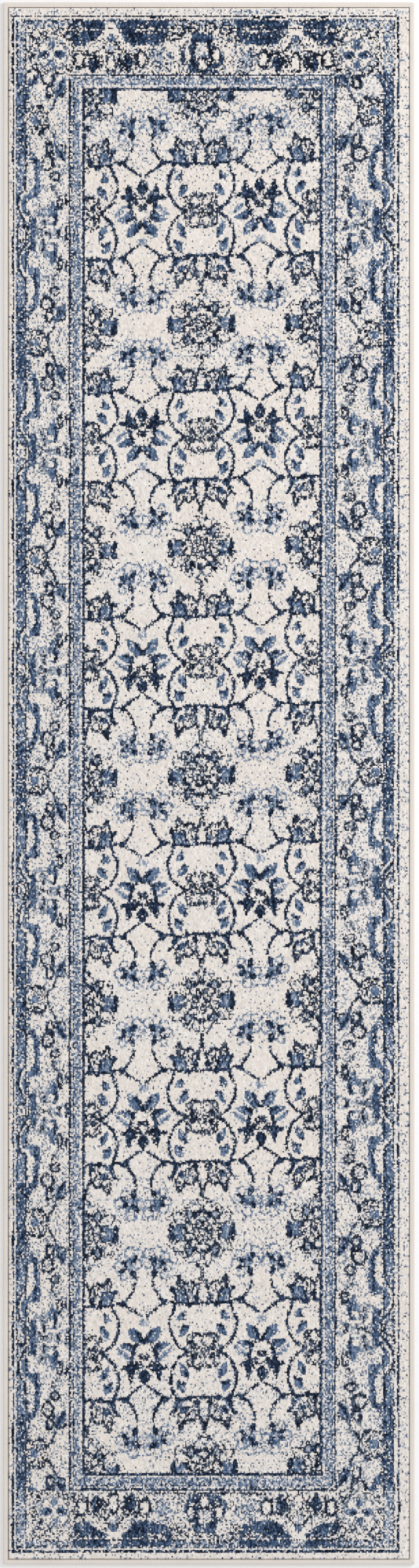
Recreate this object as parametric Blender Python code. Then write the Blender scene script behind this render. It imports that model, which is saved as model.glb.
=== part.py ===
"""Woven runner rug: cut pile on a ground cloth of weft and stuffer warp, sized on the
back, with a cord along every edge and an overcast edging of yarn wrapped round it.

Metres, +Z up. The origin is on the floor under the middle of the rug. The length runs
along Y, from the foot (-Y) to the head (+Y), and the pile stands up along +Z.
"""

import math

import bmesh
import bpy

# Overall size, over the edging.
RUG_WIDTH = 0.790
RUG_LENGTH = 3.000

# Layers of the cloth, from the floor up.
COAT_THICKNESS = 0.0006      # latex size on the back
WEFT_THICKNESS = 0.0007      # one layer of weft shots, under or over the stuffer warp
WARP_THICKNESS = 0.0008      # stuffer warp
PILE_HEIGHT = 0.0060         # tufts above the ground cloth
CLEARANCE = 0.0003           # between any two pieces that lie against each other

# The edging: yarn wrapped round a cord and lapped over the edge of the ground cloth.
CORD_DIAMETER = 0.0044
EDGING_WALL = 0.0012         # yarn round the cord
EDGING_LAP = 0.0038          # how far the yarn reaches in over the cloth
FLOOR_ROUND = 0.0012         # radius of the edging where it meets the floor
OUTER_ROUND = 0.0030         # radius of its upper outer edge
INNER_ROUND = 0.0014         # radius of its upper inner edge
SEAM_DIAMETER = 0.0008       # needle thread that ties the edging down

# The woven bands of the pile, from the edging inwards, with each one's width along
# every side. The panel was cut from the loom a little off centre, so they differ from
# side to side. The field fills what they leave.
BANDS = {
    "outer_band": {"left": 0.0141, "right": 0.0292, "head": 0.0215, "foot": 0.0200},
    "blue_band": {"left": 0.0191, "right": 0.0203, "head": 0.0173, "foot": 0.0158},
    "main_border": {"left": 0.0822, "right": 0.0902, "head": 0.0894, "foot": 0.0954},
    "guard_stripe": {"left": 0.0290, "right": 0.0301, "head": 0.0293, "foot": 0.0331},
}

# Heights and insets that follow from the sizes above.
LOWER_WEFT_BOTTOM = COAT_THICKNESS + CLEARANCE
WARP_BOTTOM = LOWER_WEFT_BOTTOM + WEFT_THICKNESS + CLEARANCE
UPPER_WEFT_BOTTOM = WARP_BOTTOM + WARP_THICKNESS + CLEARANCE
CLOTH_TOP = UPPER_WEFT_BOTTOM + WEFT_THICKNESS
PILE_BOTTOM = CLOTH_TOP + CLEARANCE
PILE_TOP = PILE_BOTTOM + PILE_HEIGHT

CORD_RADIUS = CORD_DIAMETER / 2
CAVITY_RADIUS = CORD_RADIUS + CLEARANCE
CORD_CENTRE = EDGING_WALL + CAVITY_RADIUS        # inset, and height above the floor
EDGING_HEIGHT = 2 * CORD_CENTRE
CLOTH_INSET = CORD_CENTRE + CAVITY_RADIUS
EDGING_WIDTH = CLOTH_INSET + EDGING_LAP
COAT_INSET = EDGING_WIDTH + CLEARANCE
SEAM_INSET = EDGING_WIDTH + CLEARANCE + SEAM_DIAMETER / 2
PILE_INSET = EDGING_WIDTH + 2 * CLEARANCE + SEAM_DIAMETER

# Each side with the sides that it meets at its -X or -Y end and at its +X or +Y end.
SIDES = {
    "left": ("foot", "head"),
    "right": ("foot", "head"),
    "head": ("left", "right"),
    "foot": ("left", "right"),
}

CREAM = (0.80, 0.72, 0.63)
FLECKED = (0.66, 0.61, 0.57)
MID_BLUE = (0.10, 0.17, 0.33)
PALE_BLUE = (0.33, 0.39, 0.52)
EDGING_BEIGE = (0.72, 0.63, 0.56)
BROWN = (0.28, 0.21, 0.16)
RAW_COTTON = (0.70, 0.64, 0.54)
RAW_JUTE = (0.52, 0.41, 0.28)
LATEX = (0.74, 0.68, 0.56)

BAND_COLOURS = {
    "outer_band": FLECKED,
    "blue_band": MID_BLUE,
    "main_border": FLECKED,
    "guard_stripe": PALE_BLUE,
}


def clear_scene():
    for old in list(bpy.data.objects):
        bpy.data.objects.remove(old, do_unlink=True)


def make_material(name, colour, roughness):
    material = bpy.data.materials.new(name)
    material.use_nodes = True
    shader = material.node_tree.nodes["Principled BSDF"]
    shader.inputs["Base Color"].default_value = (*colour, 1.0)
    shader.inputs["Roughness"].default_value = roughness
    shader.inputs["Metallic"].default_value = 0.0
    material.diffuse_color = (*colour, 1.0)
    return material


def add_object(name, bm, colour, roughness, smooth=False):
    """Turn a closed bmesh into a named object with a material of its own."""
    bmesh.ops.recalc_face_normals(bm, faces=bm.faces)
    mesh = bpy.data.meshes.new(name)
    bm.to_mesh(mesh)
    bm.free()
    if smooth:
        mesh.shade_smooth()
        mesh.set_sharp_from_angle(angle=math.radians(40))
    mesh.materials.append(make_material(name + "_material", colour, roughness))
    piece = bpy.data.objects.new(name, mesh)
    bpy.context.scene.collection.objects.link(piece)
    return piece


def add_slab(name, inset, bottom, thickness, colour, roughness):
    """A flat rectangular layer whose edges stay `inset` inside the rug's outline."""
    bm = bmesh.new()
    bmesh.ops.create_cube(bm, size=1.0)
    width = RUG_WIDTH - 2 * inset
    length = RUG_LENGTH - 2 * inset
    bmesh.ops.scale(bm, vec=(width, length, thickness), verts=bm.verts)
    bmesh.ops.translate(bm, vec=(0, 0, bottom + thickness / 2), verts=bm.verts)
    return add_object(name, bm, colour, roughness)


def place(side, inset, along, height):
    """A point `inset` in from one side of the rug and `along` that side."""
    if side == "left":
        return (-RUG_WIDTH / 2 + inset, along, height)
    if side == "right":
        return (RUG_WIDTH / 2 - inset, along, height)
    if side == "head":
        return (along, RUG_LENGTH / 2 - inset, height)
    return (along, -RUG_LENGTH / 2 + inset, height)


def half_side(side):
    return (RUG_LENGTH if side in ("left", "right") else RUG_WIDTH) / 2


def add_run(name, side, profile, mitres, colour, roughness, smooth=False):
    """Run a profile of (inset, height) points along one side of the rug.

    There is a mitre for each end. It gives, for an inset from this side, the inset from
    the next side at which the run stops, so that two runs meet in a mitred corner.
    """
    bm = bmesh.new()
    rings = []
    for end, mitre in zip((-1, 1), mitres):
        ring = []
        for inset, height in profile:
            along = end * (half_side(side) - mitre(inset))
            ring.append(bm.verts.new(place(side, inset, along, height)))
        rings.append(ring)
    near, far = rings
    count = len(profile)
    for i in range(count):
        j = (i + 1) % count
        bm.faces.new((near[i], near[j], far[j], far[i]))
    bm.faces.new(near)
    bm.faces.new(far)
    return add_object(name, bm, colour, roughness, smooth)


def square_mitre(inset):
    """A 45 degree corner with half of the clearance on this run's side of it."""
    return inset + CLEARANCE * math.sqrt(0.5)


def band_mitre(outer, inner, next_outer, next_inner):
    """The corner of a band that is `outer` to `inner` inset from this side of the rug
    and `next_outer` to `next_inner` from the next one, with half of the clearance."""
    slope = (next_inner - next_outer) / (inner - outer)

    def mitre(inset):
        return next_outer + slope * (inset - outer) + CLEARANCE / 2 * math.hypot(1, slope)

    return mitre


def arc(centre, radius, start, stop, steps):
    """Points of an arc from `start` to `stop` degrees about `centre`."""
    points = []
    for i in range(steps + 1):
        angle = math.radians(start + (stop - start) * i / steps)
        points.append((centre[0] + radius * math.cos(angle), centre[1] + radius * math.sin(angle)))
    return points


def edging_profile():
    """A C lying on its back: it holds the cord and laps over and under the cloth."""
    centre = (CORD_CENTRE, CORD_CENTRE)
    mouth = math.degrees(math.asin((PILE_BOTTOM - CORD_CENTRE) / CAVITY_RADIUS))
    lip = -45
    outside = (
        arc((FLOOR_ROUND, FLOOR_ROUND), FLOOR_ROUND, 270, 180, 3)
        + arc((OUTER_ROUND, EDGING_HEIGHT - OUTER_ROUND), OUTER_ROUND, 180, 90, 5)
        + arc((EDGING_WIDTH - INNER_ROUND, EDGING_HEIGHT - INNER_ROUND), INNER_ROUND, 90, 0, 3)
    )
    cavity = arc(centre, CAVITY_RADIUS, mouth, 360 + lip, 14)
    return (
        outside
        + [(EDGING_WIDTH, PILE_BOTTOM)]
        + cavity
        + [(CORD_CENTRE + CORD_RADIUS, COAT_THICKNESS), (EDGING_WIDTH, COAT_THICKNESS)]
        + [(EDGING_WIDTH, 0.0)]
    )


def round_profile(inset, height, radius, sides):
    return arc((inset, height), radius, 0, 360 * (sides - 1) / sides, sides - 1)


def add_ground_cloth():
    add_slab("back_coating", COAT_INSET, 0.0, COAT_THICKNESS, LATEX, 0.7)
    add_slab("lower_weft", CLOTH_INSET, LOWER_WEFT_BOTTOM, WEFT_THICKNESS, RAW_JUTE, 0.9)
    add_slab("stuffer_warp", CLOTH_INSET, WARP_BOTTOM, WARP_THICKNESS, RAW_COTTON, 0.9)
    add_slab("upper_weft", CLOTH_INSET, UPPER_WEFT_BOTTOM, WEFT_THICKNESS, RAW_JUTE, 0.9)


def add_edging(side):
    corners = (square_mitre, square_mitre)
    add_run("edging_" + side, side, edging_profile(), corners, EDGING_BEIGE, 0.8, smooth=True)
    cord = round_profile(CORD_CENTRE, CORD_CENTRE, CORD_RADIUS, 12)
    add_run("edge_cord_" + side, side, cord, corners, RAW_COTTON, 0.9, smooth=True)
    seam_height = PILE_BOTTOM + SEAM_DIAMETER / 2
    seam = round_profile(SEAM_INSET, seam_height, SEAM_DIAMETER / 2, 8)
    add_run("seam_thread_" + side, side, seam, corners, BROWN, 0.8, smooth=True)


def add_band(name, side, outer, inner):
    """One side of a woven band between its outer and inner insets, mitred to the same
    band on the sides that it meets."""
    low, high = outer[side] + CLEARANCE / 2, inner[side] - CLEARANCE / 2
    profile = [(low, PILE_BOTTOM), (high, PILE_BOTTOM), (high, PILE_TOP), (low, PILE_TOP)]
    corners = [band_mitre(outer[side], inner[side], outer[n], inner[n]) for n in SIDES[side]]
    add_run(name + "_" + side, side, profile, corners, BAND_COLOURS[name], 0.9)


def add_pile():
    outer = {side: PILE_INSET - CLEARANCE / 2 for side in SIDES}
    for name, widths in BANDS.items():
        inner = {side: outer[side] + widths[side] for side in SIDES}
        for side in SIDES:
            add_band(name, side, outer, inner)
        outer = inner
    add_field(outer)


def add_field(outer):
    """The middle panel, as far as the insets of the last band's inner edge."""
    gap = CLEARANCE / 2
    left, right = -RUG_WIDTH / 2 + outer["left"] + gap, RUG_WIDTH / 2 - outer["right"] - gap
    foot, head = -RUG_LENGTH / 2 + outer["foot"] + gap, RUG_LENGTH / 2 - outer["head"] - gap
    bm = bmesh.new()
    bmesh.ops.create_cube(bm, size=1.0)
    bmesh.ops.scale(bm, vec=(right - left, head - foot, PILE_HEIGHT), verts=bm.verts)
    middle = ((left + right) / 2, (foot + head) / 2, PILE_BOTTOM + PILE_HEIGHT / 2)
    bmesh.ops.translate(bm, vec=middle, verts=bm.verts)
    add_object("field_pile", bm, CREAM, 0.9)


def main():
    clear_scene()
    add_ground_cloth()
    for side in SIDES:
        add_edging(side)
    add_pile()


main()
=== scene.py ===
# %% [markdown]
# # A runner rug, made the way a rug is made
# The frame holds the plain rug: its cloth, its pile in bands, and its bound edge, all at real size.
# This lesson gives it its looks. A pattern is drawn tuft by tuft on squared paper, as a weaver draws it,
# and each square then becomes a tuft of yarn. Blender holds the sizes, so nothing is measured by eye.

# %% Open the frame
import math
import bpy
import numpy as np
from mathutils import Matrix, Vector


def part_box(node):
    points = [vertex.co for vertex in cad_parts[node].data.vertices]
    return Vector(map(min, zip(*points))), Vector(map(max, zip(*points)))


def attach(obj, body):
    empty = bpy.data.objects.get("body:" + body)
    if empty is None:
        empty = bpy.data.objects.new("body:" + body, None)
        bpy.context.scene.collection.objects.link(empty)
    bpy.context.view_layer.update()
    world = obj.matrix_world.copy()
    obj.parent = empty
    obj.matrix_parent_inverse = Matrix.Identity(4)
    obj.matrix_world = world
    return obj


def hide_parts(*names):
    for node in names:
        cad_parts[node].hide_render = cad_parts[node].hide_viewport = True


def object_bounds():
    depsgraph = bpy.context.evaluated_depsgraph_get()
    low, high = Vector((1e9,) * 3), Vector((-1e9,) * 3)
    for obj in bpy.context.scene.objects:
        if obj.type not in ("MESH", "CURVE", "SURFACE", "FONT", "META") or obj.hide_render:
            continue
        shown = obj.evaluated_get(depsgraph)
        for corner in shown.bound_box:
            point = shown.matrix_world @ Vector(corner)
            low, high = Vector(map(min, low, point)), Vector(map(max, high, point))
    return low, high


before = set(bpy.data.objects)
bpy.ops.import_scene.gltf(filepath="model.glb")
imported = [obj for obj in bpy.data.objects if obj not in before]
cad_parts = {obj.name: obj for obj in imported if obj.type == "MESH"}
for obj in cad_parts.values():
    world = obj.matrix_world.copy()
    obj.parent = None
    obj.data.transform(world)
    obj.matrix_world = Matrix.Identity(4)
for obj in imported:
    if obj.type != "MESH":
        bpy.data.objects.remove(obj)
cad_box = [list(corner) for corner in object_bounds()]
print("nodes:", len(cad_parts))

# %% [markdown]
# ## Sizes that come from the frame
# Every band of pile is four strips with mitred corners. How far each strip starts from the rug's own
# edge is all that the design needs, so it is read once here. The design works in millimetres, because
# a tuft is about three of them across.

# %% Read the rug's edges, its levels and its bands
MM = 1000.0
SIDES = ("left", "right", "head", "foot")
BANDS = ("outer_band", "blue_band", "main_border", "guard_stripe")

LOW, HIGH = (Vector(corner) for corner in cad_box)
PILE_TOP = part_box("field_pile")[1][2]
PILE_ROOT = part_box("field_pile")[0][2]
CLOTH_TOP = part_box("upper_weft")[1][2]
CLOTH_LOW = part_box("lower_weft")[0][2]
EDGING_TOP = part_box("edging_left")[1][2]


def way_in(node, side):
    """How far a node starts from one edge of the rug, in millimetres."""
    low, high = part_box(node)
    reach = {"left": low[0] - LOW.x, "right": HIGH.x - high[0],
             "head": HIGH.y - high[1], "foot": low[1] - LOW.y}
    return reach[side] * MM


STARTS = {band: {side: way_in(f"{band}_{side}", side) for side in SIDES} for band in BANDS}
STARTS["field"] = {side: way_in("field_pile", side) for side in SIDES}
print("the field starts", {side: round(depth) for side, depth in STARTS["field"].items()}, "mm in")

# %% [markdown]
# ## Squared paper
# A machine-woven pile is a grid: columns set by the loom's reed and rows set by the weft. Drawing on
# that grid, one square for each tuft, gives the design the stepped edges of a real woven rug. A painted
# image could do the same, but numbers on a grid stay sharp at any distance and need no file.

# %% Lay out one square for each tuft
SHADE_LOW, SHADE_HIGH = -0.12, 1.05
TUFT_WIDE = 2.6
TUFT_TALL = 2.9
RIM = STARTS["outer_band"]
PILE_LEFT = LOW.x * MM + RIM["left"]
PILE_RIGHT = HIGH.x * MM - RIM["right"]
PILE_HEAD = HIGH.y * MM - RIM["head"]
PILE_FOOT = LOW.y * MM + RIM["foot"]

COLUMNS = round((PILE_RIGHT - PILE_LEFT) / TUFT_WIDE)
ROWS = round((PILE_HEAD - PILE_FOOT) / TUFT_TALL)
column_lines = np.linspace(PILE_LEFT, PILE_RIGHT, COLUMNS + 1)
row_lines = np.linspace(PILE_HEAD, PILE_FOOT, ROWS + 1)
X, Y = np.meshgrid((column_lines[1:] + column_lines[:-1]) / 2, (row_lines[1:] + row_lines[:-1]) / 2)
DEPTH = {"left": X - LOW.x * MM, "right": HIGH.x * MM - X,
         "head": HIGH.y * MM - Y, "foot": Y - LOW.y * MM}

shade = np.zeros(X.shape)    # 0 is the cream yarn, 1 the darkest navy
blue = np.zeros(X.shape)     # 0 is a plain grey, 1 a clear blue
print(COLUMNS, "columns by", ROWS, "rows of tufts")

# %% [markdown]
# ## Yarns, patches and bands
# The loom holds only a few yarns, so the design picks from a short list. Each is how dark it is and
# how blue. Soft patches made from a small grid of random numbers give the slow changes that an
# antique-look rug has. A band is whatever lies past its own start and before the next band's. No loom
# keeps its tension even, so the rows are pulled by up to 22 mm along the rug and the columns lean.

# %% Name the yarns, and find each band's tufts
CREAM, GREY, SKY = (0.0, 0.0), (0.44, 0.25), (0.31, 0.75)
DENIM, ROYAL = (0.54, 0.9), (0.70, 0.85)
NAVY, INK = (0.89, 0.7), (0.86, 0.35)
BLOOM = 0.35   # how far a cut tuft spreads over its neighbours, in millimetres


def put(cells, yarn):
    """Give some tufts a yarn."""
    shade[cells], blue[cells] = yarn


def patches(wide, tall, seed):
    """Soft patches between -1 and 1, each about wide by tall millimetres."""
    dice = np.random.default_rng(seed)
    across, down = (X - X.min()) / wide, (Y.max() - Y) / tall
    knots = dice.uniform(-1, 1, (int(down.max()) + 2, int(across.max()) + 2))
    i, j = across.astype(int), down.astype(int)
    s, t = across - i, down - j
    s, t = s * s * (3 - 2 * s), t * t * (3 - 2 * t)
    upper = knots[j, i] * (1 - s) + knots[j, i + 1] * s
    lower = knots[j + 1, i] * (1 - s) + knots[j + 1, i + 1] * s
    return upper * (1 - t) + lower * t


def past(band):
    """The tufts that lie inside a band's outer edge on all four sides."""
    return np.all([DEPTH[side] > STARTS[band][side] for side in SIDES], axis=0)


IN_FIELD = past("field")
IN_GUARD = past("guard_stripe") & ~IN_FIELD
IN_BORDER = past("main_border") & ~past("guard_stripe")
IN_BLUE = past("blue_band") & ~past("main_border")
IN_OUTER = ~past("blue_band")
DRIFT_X = 1.1 * patches(28, 28, 1)
DRIFT_Y = 1.1 * patches(28, 28, 2)

PULL_AT = (-1310, -1160, -1010, -860, -630, -480, -300, 420, 800, 950, 1170, 1400)
PULLED = Y + np.interp(Y, PULL_AT, (22, 15, 7.5, 2, 0, -4.5, 1, 1, 6, 14, 7, 1.5))
LEANING = X + np.interp(Y, (-1250, -900, -300, 1400), (-6, -3, -1.5, -0.5))
print("field", IN_FIELD.sum(), "guard", IN_GUARD.sum(), "border", IN_BORDER.sum(), "tufts")

# %% [markdown]
# ## Drawing tools
# A sheet of squared paper covers part of the rug and has its own u and v in millimetres. Where u and v
# are folded or repeated, one drawing comes out many times, mirrored, as a loom repeats its cards. Each
# tool works out how far a square is outside a shape and yarns the squares that are within it. A ragged
# edge and a few missed squares make the worn, stippled line of a distressed rug.

# %% Make the paper and its brushes
def smooth(points, steps=6):
    """A curve that passes through all the points."""
    p = np.array([points[0], *points, points[-1]], float)
    curve = [0.5 * (2 * b + (c - a) * t + (2 * a - 5 * b + 4 * c - d) * t ** 2
                    + (3 * b - a - 3 * c + d) * t ** 3)
             for a, b, c, d in zip(p, p[1:], p[2:], p[3:]) for t in np.arange(steps) / steps]
    return np.array(curve + [p[-1]])


def beside(u, v, start, end):
    """How far along a straight piece each square lies, from 0 to 1, and how far from it."""
    (au, av), (bu, bv) = start, end
    du, dv = bu - au, bv - av
    along = np.clip(((u - au) * du + (v - av) * dv) / (du * du + dv * dv + 1e-9), 0, 1)
    return along, np.hypot(u - au - du * along, v - av - dv * along)


class Paper:
    """Squared paper over part of the rug."""

    def __init__(self, part, u, v, seed):
        self.cells = np.flatnonzero(part)
        self.u, self.v = u[part], v[part]
        self.dice = np.random.default_rng(seed)

    def near(self, points, margin):
        """The squares close to some points."""
        low, high = np.min(points, axis=0) - margin, np.max(points, axis=0) + margin
        across = (self.u > low[0]) & (self.u < high[0])
        return np.flatnonzero(across & (self.v > low[1]) & (self.v < high[1]))

    def knot(self, at, outside, yarn, solid, ragged):
        """Yarn the squares that are inside a shape; solid is the share of them that takes it."""
        inside = outside < BLOOM + self.dice.normal(0, ragged, outside.size)
        chosen = self.cells[at[inside & (self.dice.random(outside.size) < solid)]]
        shade.flat[chosen], blue.flat[chosen] = yarn

    def line(self, points, wide, yarn, solid=0.9, ragged=0.4):
        """A line through the points; wide is its width, or its first and last width."""
        first, last = wide if isinstance(wide, tuple) else (wide, wide)
        curve = smooth(points) if len(points) > 2 else np.array(points, float)
        at = self.near(curve, max(first, last) + 3)
        outside = np.full(at.size, 1e9)
        for i, (start, end) in enumerate(zip(curve, curve[1:])):
            along, away = beside(self.u[at], self.v[at], start, end)
            half = (first + (last - first) * (i + along) / (len(curve) - 1)) / 2
            outside = np.minimum(outside, away - half)
        self.knot(at, outside, yarn, solid, ragged)

    def disc(self, centre, size, yarn, solid=0.9, ragged=0.5, ring=None):
        """An oval of the given half-sizes, or only its rim, ring wide."""
        a, b = size if isinstance(size, tuple) else (size, size)
        at = self.near([centre], max(a, b) + 4)
        outside = (np.hypot((self.u[at] - centre[0]) / a, (self.v[at] - centre[1]) / b) - 1) * min(a, b)
        self.knot(at, np.abs(outside) - ring / 2 if ring else outside, yarn, solid, ragged)

    def leaf(self, foot, tip, wide, yarn, solid=0.9, ragged=0.5, fat=0.5, ring=None):
        """A leaf from foot to tip, widest a share `fat` of the way along."""
        at = self.near([foot, tip], wide / 2 + 4)
        (au, av), (bu, bv) = foot, tip
        du, dv = bu - au, bv - av
        length = math.hypot(du, dv)
        along = ((self.u[at] - au) * du + (self.v[at] - av) * dv) / length ** 2
        aside = np.abs((self.u[at] - au) * dv - (self.v[at] - av) * du) / length
        rise = np.clip(np.where(along < fat, along / fat, (1 - along) / (1 - fat)), 0, 1)
        outside = aside - wide / 2 * np.sin(rise * math.pi / 2)
        outside = np.where((along < 0) | (along > 1), np.maximum(-along, along - 1) * length + 1, outside)
        self.knot(at, np.abs(outside) - ring / 2 if ring else outside, yarn, solid, ragged)

    def patch(self, corners, yarn, solid=0.9, ragged=0.8):
        """An area with straight sides."""
        at = self.near(corners, 4)
        u, v = self.u[at], self.v[at]
        inside, away = np.zeros(at.size, bool), np.full(at.size, 1e9)
        for (au, av), (bu, bv) in zip(corners, [*corners[1:], corners[0]]):
            away = np.minimum(away, beside(u, v, (au, av), (bu, bv))[1])
            inside ^= ((av > v) != (bv > v)) & (u < (bu - au) * (v - av) / (bv - av + 1e-9) + au)
        self.knot(at, np.where(inside, -away, away), yarn, solid, ragged)

    def flower(self, centre, petals, reach, wide, yarn, inner=0.35, solid=0.85, ring=None, turn=0.0):
        """Petals round a centre, from a share `inner` of the reach outwards."""
        for k in range(petals):
            angle = 2 * math.pi * (k + turn) / petals
            way = np.array([math.sin(angle), -math.cos(angle)])
            foot, tip = centre + way * reach * inner, centre + way * reach
            self.leaf(foot, tip, wide, yarn, solid, fat=0.6, ring=ring)


def scatter(part, yarns, shares, seed):
    """Fill part of the rug with a mixture of yarns."""
    cells = np.flatnonzero(part)
    pick = np.random.default_rng(seed).choice(len(yarns), cells.size, p=np.array(shares) / sum(shares))
    shade.flat[cells] = np.array([yarn[0] for yarn in yarns])[pick]
    blue.flat[cells] = np.array([yarn[1] for yarn in yarns])[pick]


print("a line, a disc, a leaf, a patch and a flower are ready")

# %% [markdown]
# ## The bands' grounds
# Each band starts as a mixture of yarns before any motif goes on it. The guard stripe shifts between
# a bluer and a paler mix along its length, which is what makes an antique-look stripe seem hand dyed.

# %% Fill the bands
stripe_mix = patches(60, 90, 41)
scatter(IN_GUARD & (stripe_mix > 0), [DENIM, SKY, CREAM, ROYAL], [4.0, 4.2, 2.7, 2.3], 42)
scatter(IN_GUARD & (stripe_mix <= 0), [DENIM, SKY, CREAM, ROYAL], [3.0, 4.4, 3.8, 1.7], 43)
scatter(IN_BLUE, [DENIM, ROYAL, SKY, CREAM], [3.5, 0.7, 4.4, 3.9], 44)
scatter(IN_BORDER, [CREAM, GREY, SKY, DENIM], [9, 0.9, 1.4, 0.3], 45)
at_an_end = np.any([DEPTH[end] < STARTS["guard_stripe"][end] for end in ("head", "foot")], axis=0)
scatter(IN_BORDER & at_an_end, [CREAM, GREY, SKY, INK], [9, 1.2, 0.7, 1.1], 47)
scatter(IN_OUTER, [CREAM, GREY, SKY], [11, 0.5, 0.5], 46)
print("mean shade of the guard stripe:", round(float(shade[IN_GUARD].mean()), 2))

# %% [markdown]
# ## The field's motifs
# The field repeats one cell: a rosette, a stem with a palmette crown, a pair of rings of vine round a
# small medallion, and a palmette hanging below. Carnations and a lotus stand halfway to the next
# column. Each motif is drawn once, on the right half only, in millimetres from the rosette above it.

# %% Draw the rosette and the stem's palmettes
def draw_rosette(paper):
    centre = np.array((0, -4))
    paper.flower(centre, 14, 59, 17, CREAM, inner=0.5, solid=0.95, turn=0.5)
    paper.flower(centre, 14, 58, 17, DENIM, inner=0.6, solid=0.35, ring=2.6, turn=0.5)
    paper.flower(centre, 14, 58, 17, INK, inner=0.6, solid=0.5, ring=2.6, turn=0.5)
    paper.disc(centre, (33, 35), GREY, 0.15)
    paper.flower(centre, 10, 36, 15, INK, inner=0.45, solid=0.7, ring=2.8)
    paper.flower(centre, 8, 20, 11, INK, inner=0.4, solid=0.75, ring=2.8, turn=0.5)
    paper.disc(centre, 6, INK, 0.7, ring=3)
    paper.patch([(38, -18), (55, -15), (55, 7), (38, 10), (32, -4)], DENIM, 0.9)
    paper.disc((49, -4), 3, SKY, 0.7)
    paper.disc((35, -4), 3, CREAM, 0.85)
    paper.disc((59.5, -12), (5, 9), NAVY, 0.96)
    paper.disc((58, 4), (6.5, 10), NAVY, 0.96)
    for way in (-1, 1):
        paper.leaf((30, -4 + way * 15), (56, -4 + way * 36), 19, CREAM)
        paper.leaf((30, -4 + way * 15), (56, -4 + way * 36), 19, INK, 0.75, ring=2.8)
        paper.line([(35, -4 + way * 20), (45, -4 + way * 27)], 2.4, GREY, 0.4)
        paper.disc((33, -4 + way * 8), (4.5, 4.5), INK, 0.88)
        paper.disc((24, -4 + way * 6), 3.4, CREAM)
        paper.disc((16, -4 + way * 19), (4, 3.4), CREAM)
        paper.line([(23, -4 + way * 15), (26, -4 + way * 25)], 4.6, INK, 0.85)
        paper.leaf((24, -4 + way * 20), (27, -4 + way * 48), 17, INK, 0.86, fat=0.45)
        paper.disc((24.5, -4 + way * 33), (4, 5.5), SKY, 0.85)
        paper.disc((14.5, -4 + way * 31), (5.4, 6), NAVY)
        paper.disc((3, -4 + way * 38), (6, 4), INK, 0.82)
        paper.disc((5, -4 + way * 28), (4.6, 4), CREAM)
        paper.line([(6, -4 + way * 53), (20, -4 + way * 54)], 3, SKY, 0.5)


def draw_crown(paper):
    """The palmette that stands on the first ring, and the line it stands on."""
    paper.disc((9, 58), 4.4, INK, 0.75)
    paper.line([(1, 62), (1, 78), (5, 91), (9, 102), (11, 113), (11, 126)], (4.6, 5), INK, 0.82)
    paper.patch([(31, 104), (43, 101), (50, 104), (58, 101), (55, 115), (51, 127), (26, 129), (30, 116)],
                DENIM)
    paper.line([(34, 103), (30, 117), (26, 129)], 4.6, NAVY, 0.85)
    paper.line([(36, 104), (42, 106), (40, 114)], 5, ROYAL, 0.8)
    paper.disc((45, 119), (5, 6), SKY, 0.5)
    paper.disc((57, 102), (6, 4.6), NAVY, 0.96)
    paper.line([(56, 104), (52, 116), (51, 127)], 5, NAVY, 0.88)
    paper.line([(10, 100), (18, 90), (27, 88), (33, 92), (39, 86), (45, 79)], (4.6, 6.4), INK, 0.9)
    paper.line([(45, 79), (48, 90), (48, 101)], (6.4, 4.6), INK, 0.9)
    paper.line([(33, 92), (36, 98), (40, 103)], 3, INK, 0.7)
    paper.line([(16, 96), (20, 108), (17, 122)], 3.4, INK, 0.65)
    paper.line([(27, 92), (25, 104), (29, 114)], 3.4, INK, 0.6)
    paper.line([(42, 84), (43, 94), (40, 102)], 3.4, INK, 0.65)
    paper.disc((20, 118), (8, 8), GREY, 0.35)
    paper.disc((12, 118), (5, 7), NAVY, 0.85)
    paper.line([(0, 127.5), (28, 128), (54, 127)], 5, NAVY)
    paper.disc((27, 131), (6, 4.6), NAVY)
    paper.line([(54, 126), (64, 123), (73, 124)], 4, NAVY, 0.85)
    paper.disc((73, 124), (7, 5.6), NAVY)


def draw_base(paper):
    """The palmette that hangs under the second ring."""
    paper.line([(12, 303), (12, 316), (10, 331), (6, 342), (2, 353), (1, 366)], (5.6, 4.4), INK, 0.88)
    paper.disc((12, 309), (5, 7), NAVY, 0.85)
    paper.patch([(38, 305), (52, 304), (56, 318), (50, 322), (42, 312)], DENIM, 0.88)
    paper.disc((38, 323), (8.5, 6.5), ROYAL)
    paper.line([(30, 317), (39, 321), (46, 329)], 5, NAVY, 0.6)
    paper.line([(32, 309), (42, 314), (51, 326)], 3, CREAM, 0.8)
    paper.line([(50, 305), (53, 316), (57, 327), (63, 330)], (8, 5), NAVY, 0.92)
    paper.line([(13, 333), (18, 340), (25, 343), (33, 340), (39, 348), (45, 357)], (4.8, 6.8), INK, 0.9)
    paper.line([(45, 357), (48, 347), (50, 332)], (6.4, 4.6), INK, 0.9)
    paper.line([(18, 308), (22, 322), (17, 334)], 3.4, INK, 0.6)
    paper.line([(27, 312), (26, 326), (31, 336)], 3.4, INK, 0.55)
    paper.line([(44, 336), (42, 346)], 3.4, INK, 0.6)
    paper.disc((20, 322), (8, 9), GREY, 0.3)
    paper.line([(33, 340), (34, 331)], 3, INK, 0.7)
    paper.line([(0, 301), (10, 300), (27, 301), (42, 304), (53, 302)], (5, 5.6), NAVY)
    paper.disc((27, 301), 5.6, NAVY)
    paper.line([(53, 302), (65, 299), (75, 302)], 4, NAVY, 0.85)
    paper.disc((75, 302), (7, 6), NAVY)
    paper.disc((8, 373), 4.4, INK, 0.7)


print("rosette, crown and base drawn")

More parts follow.
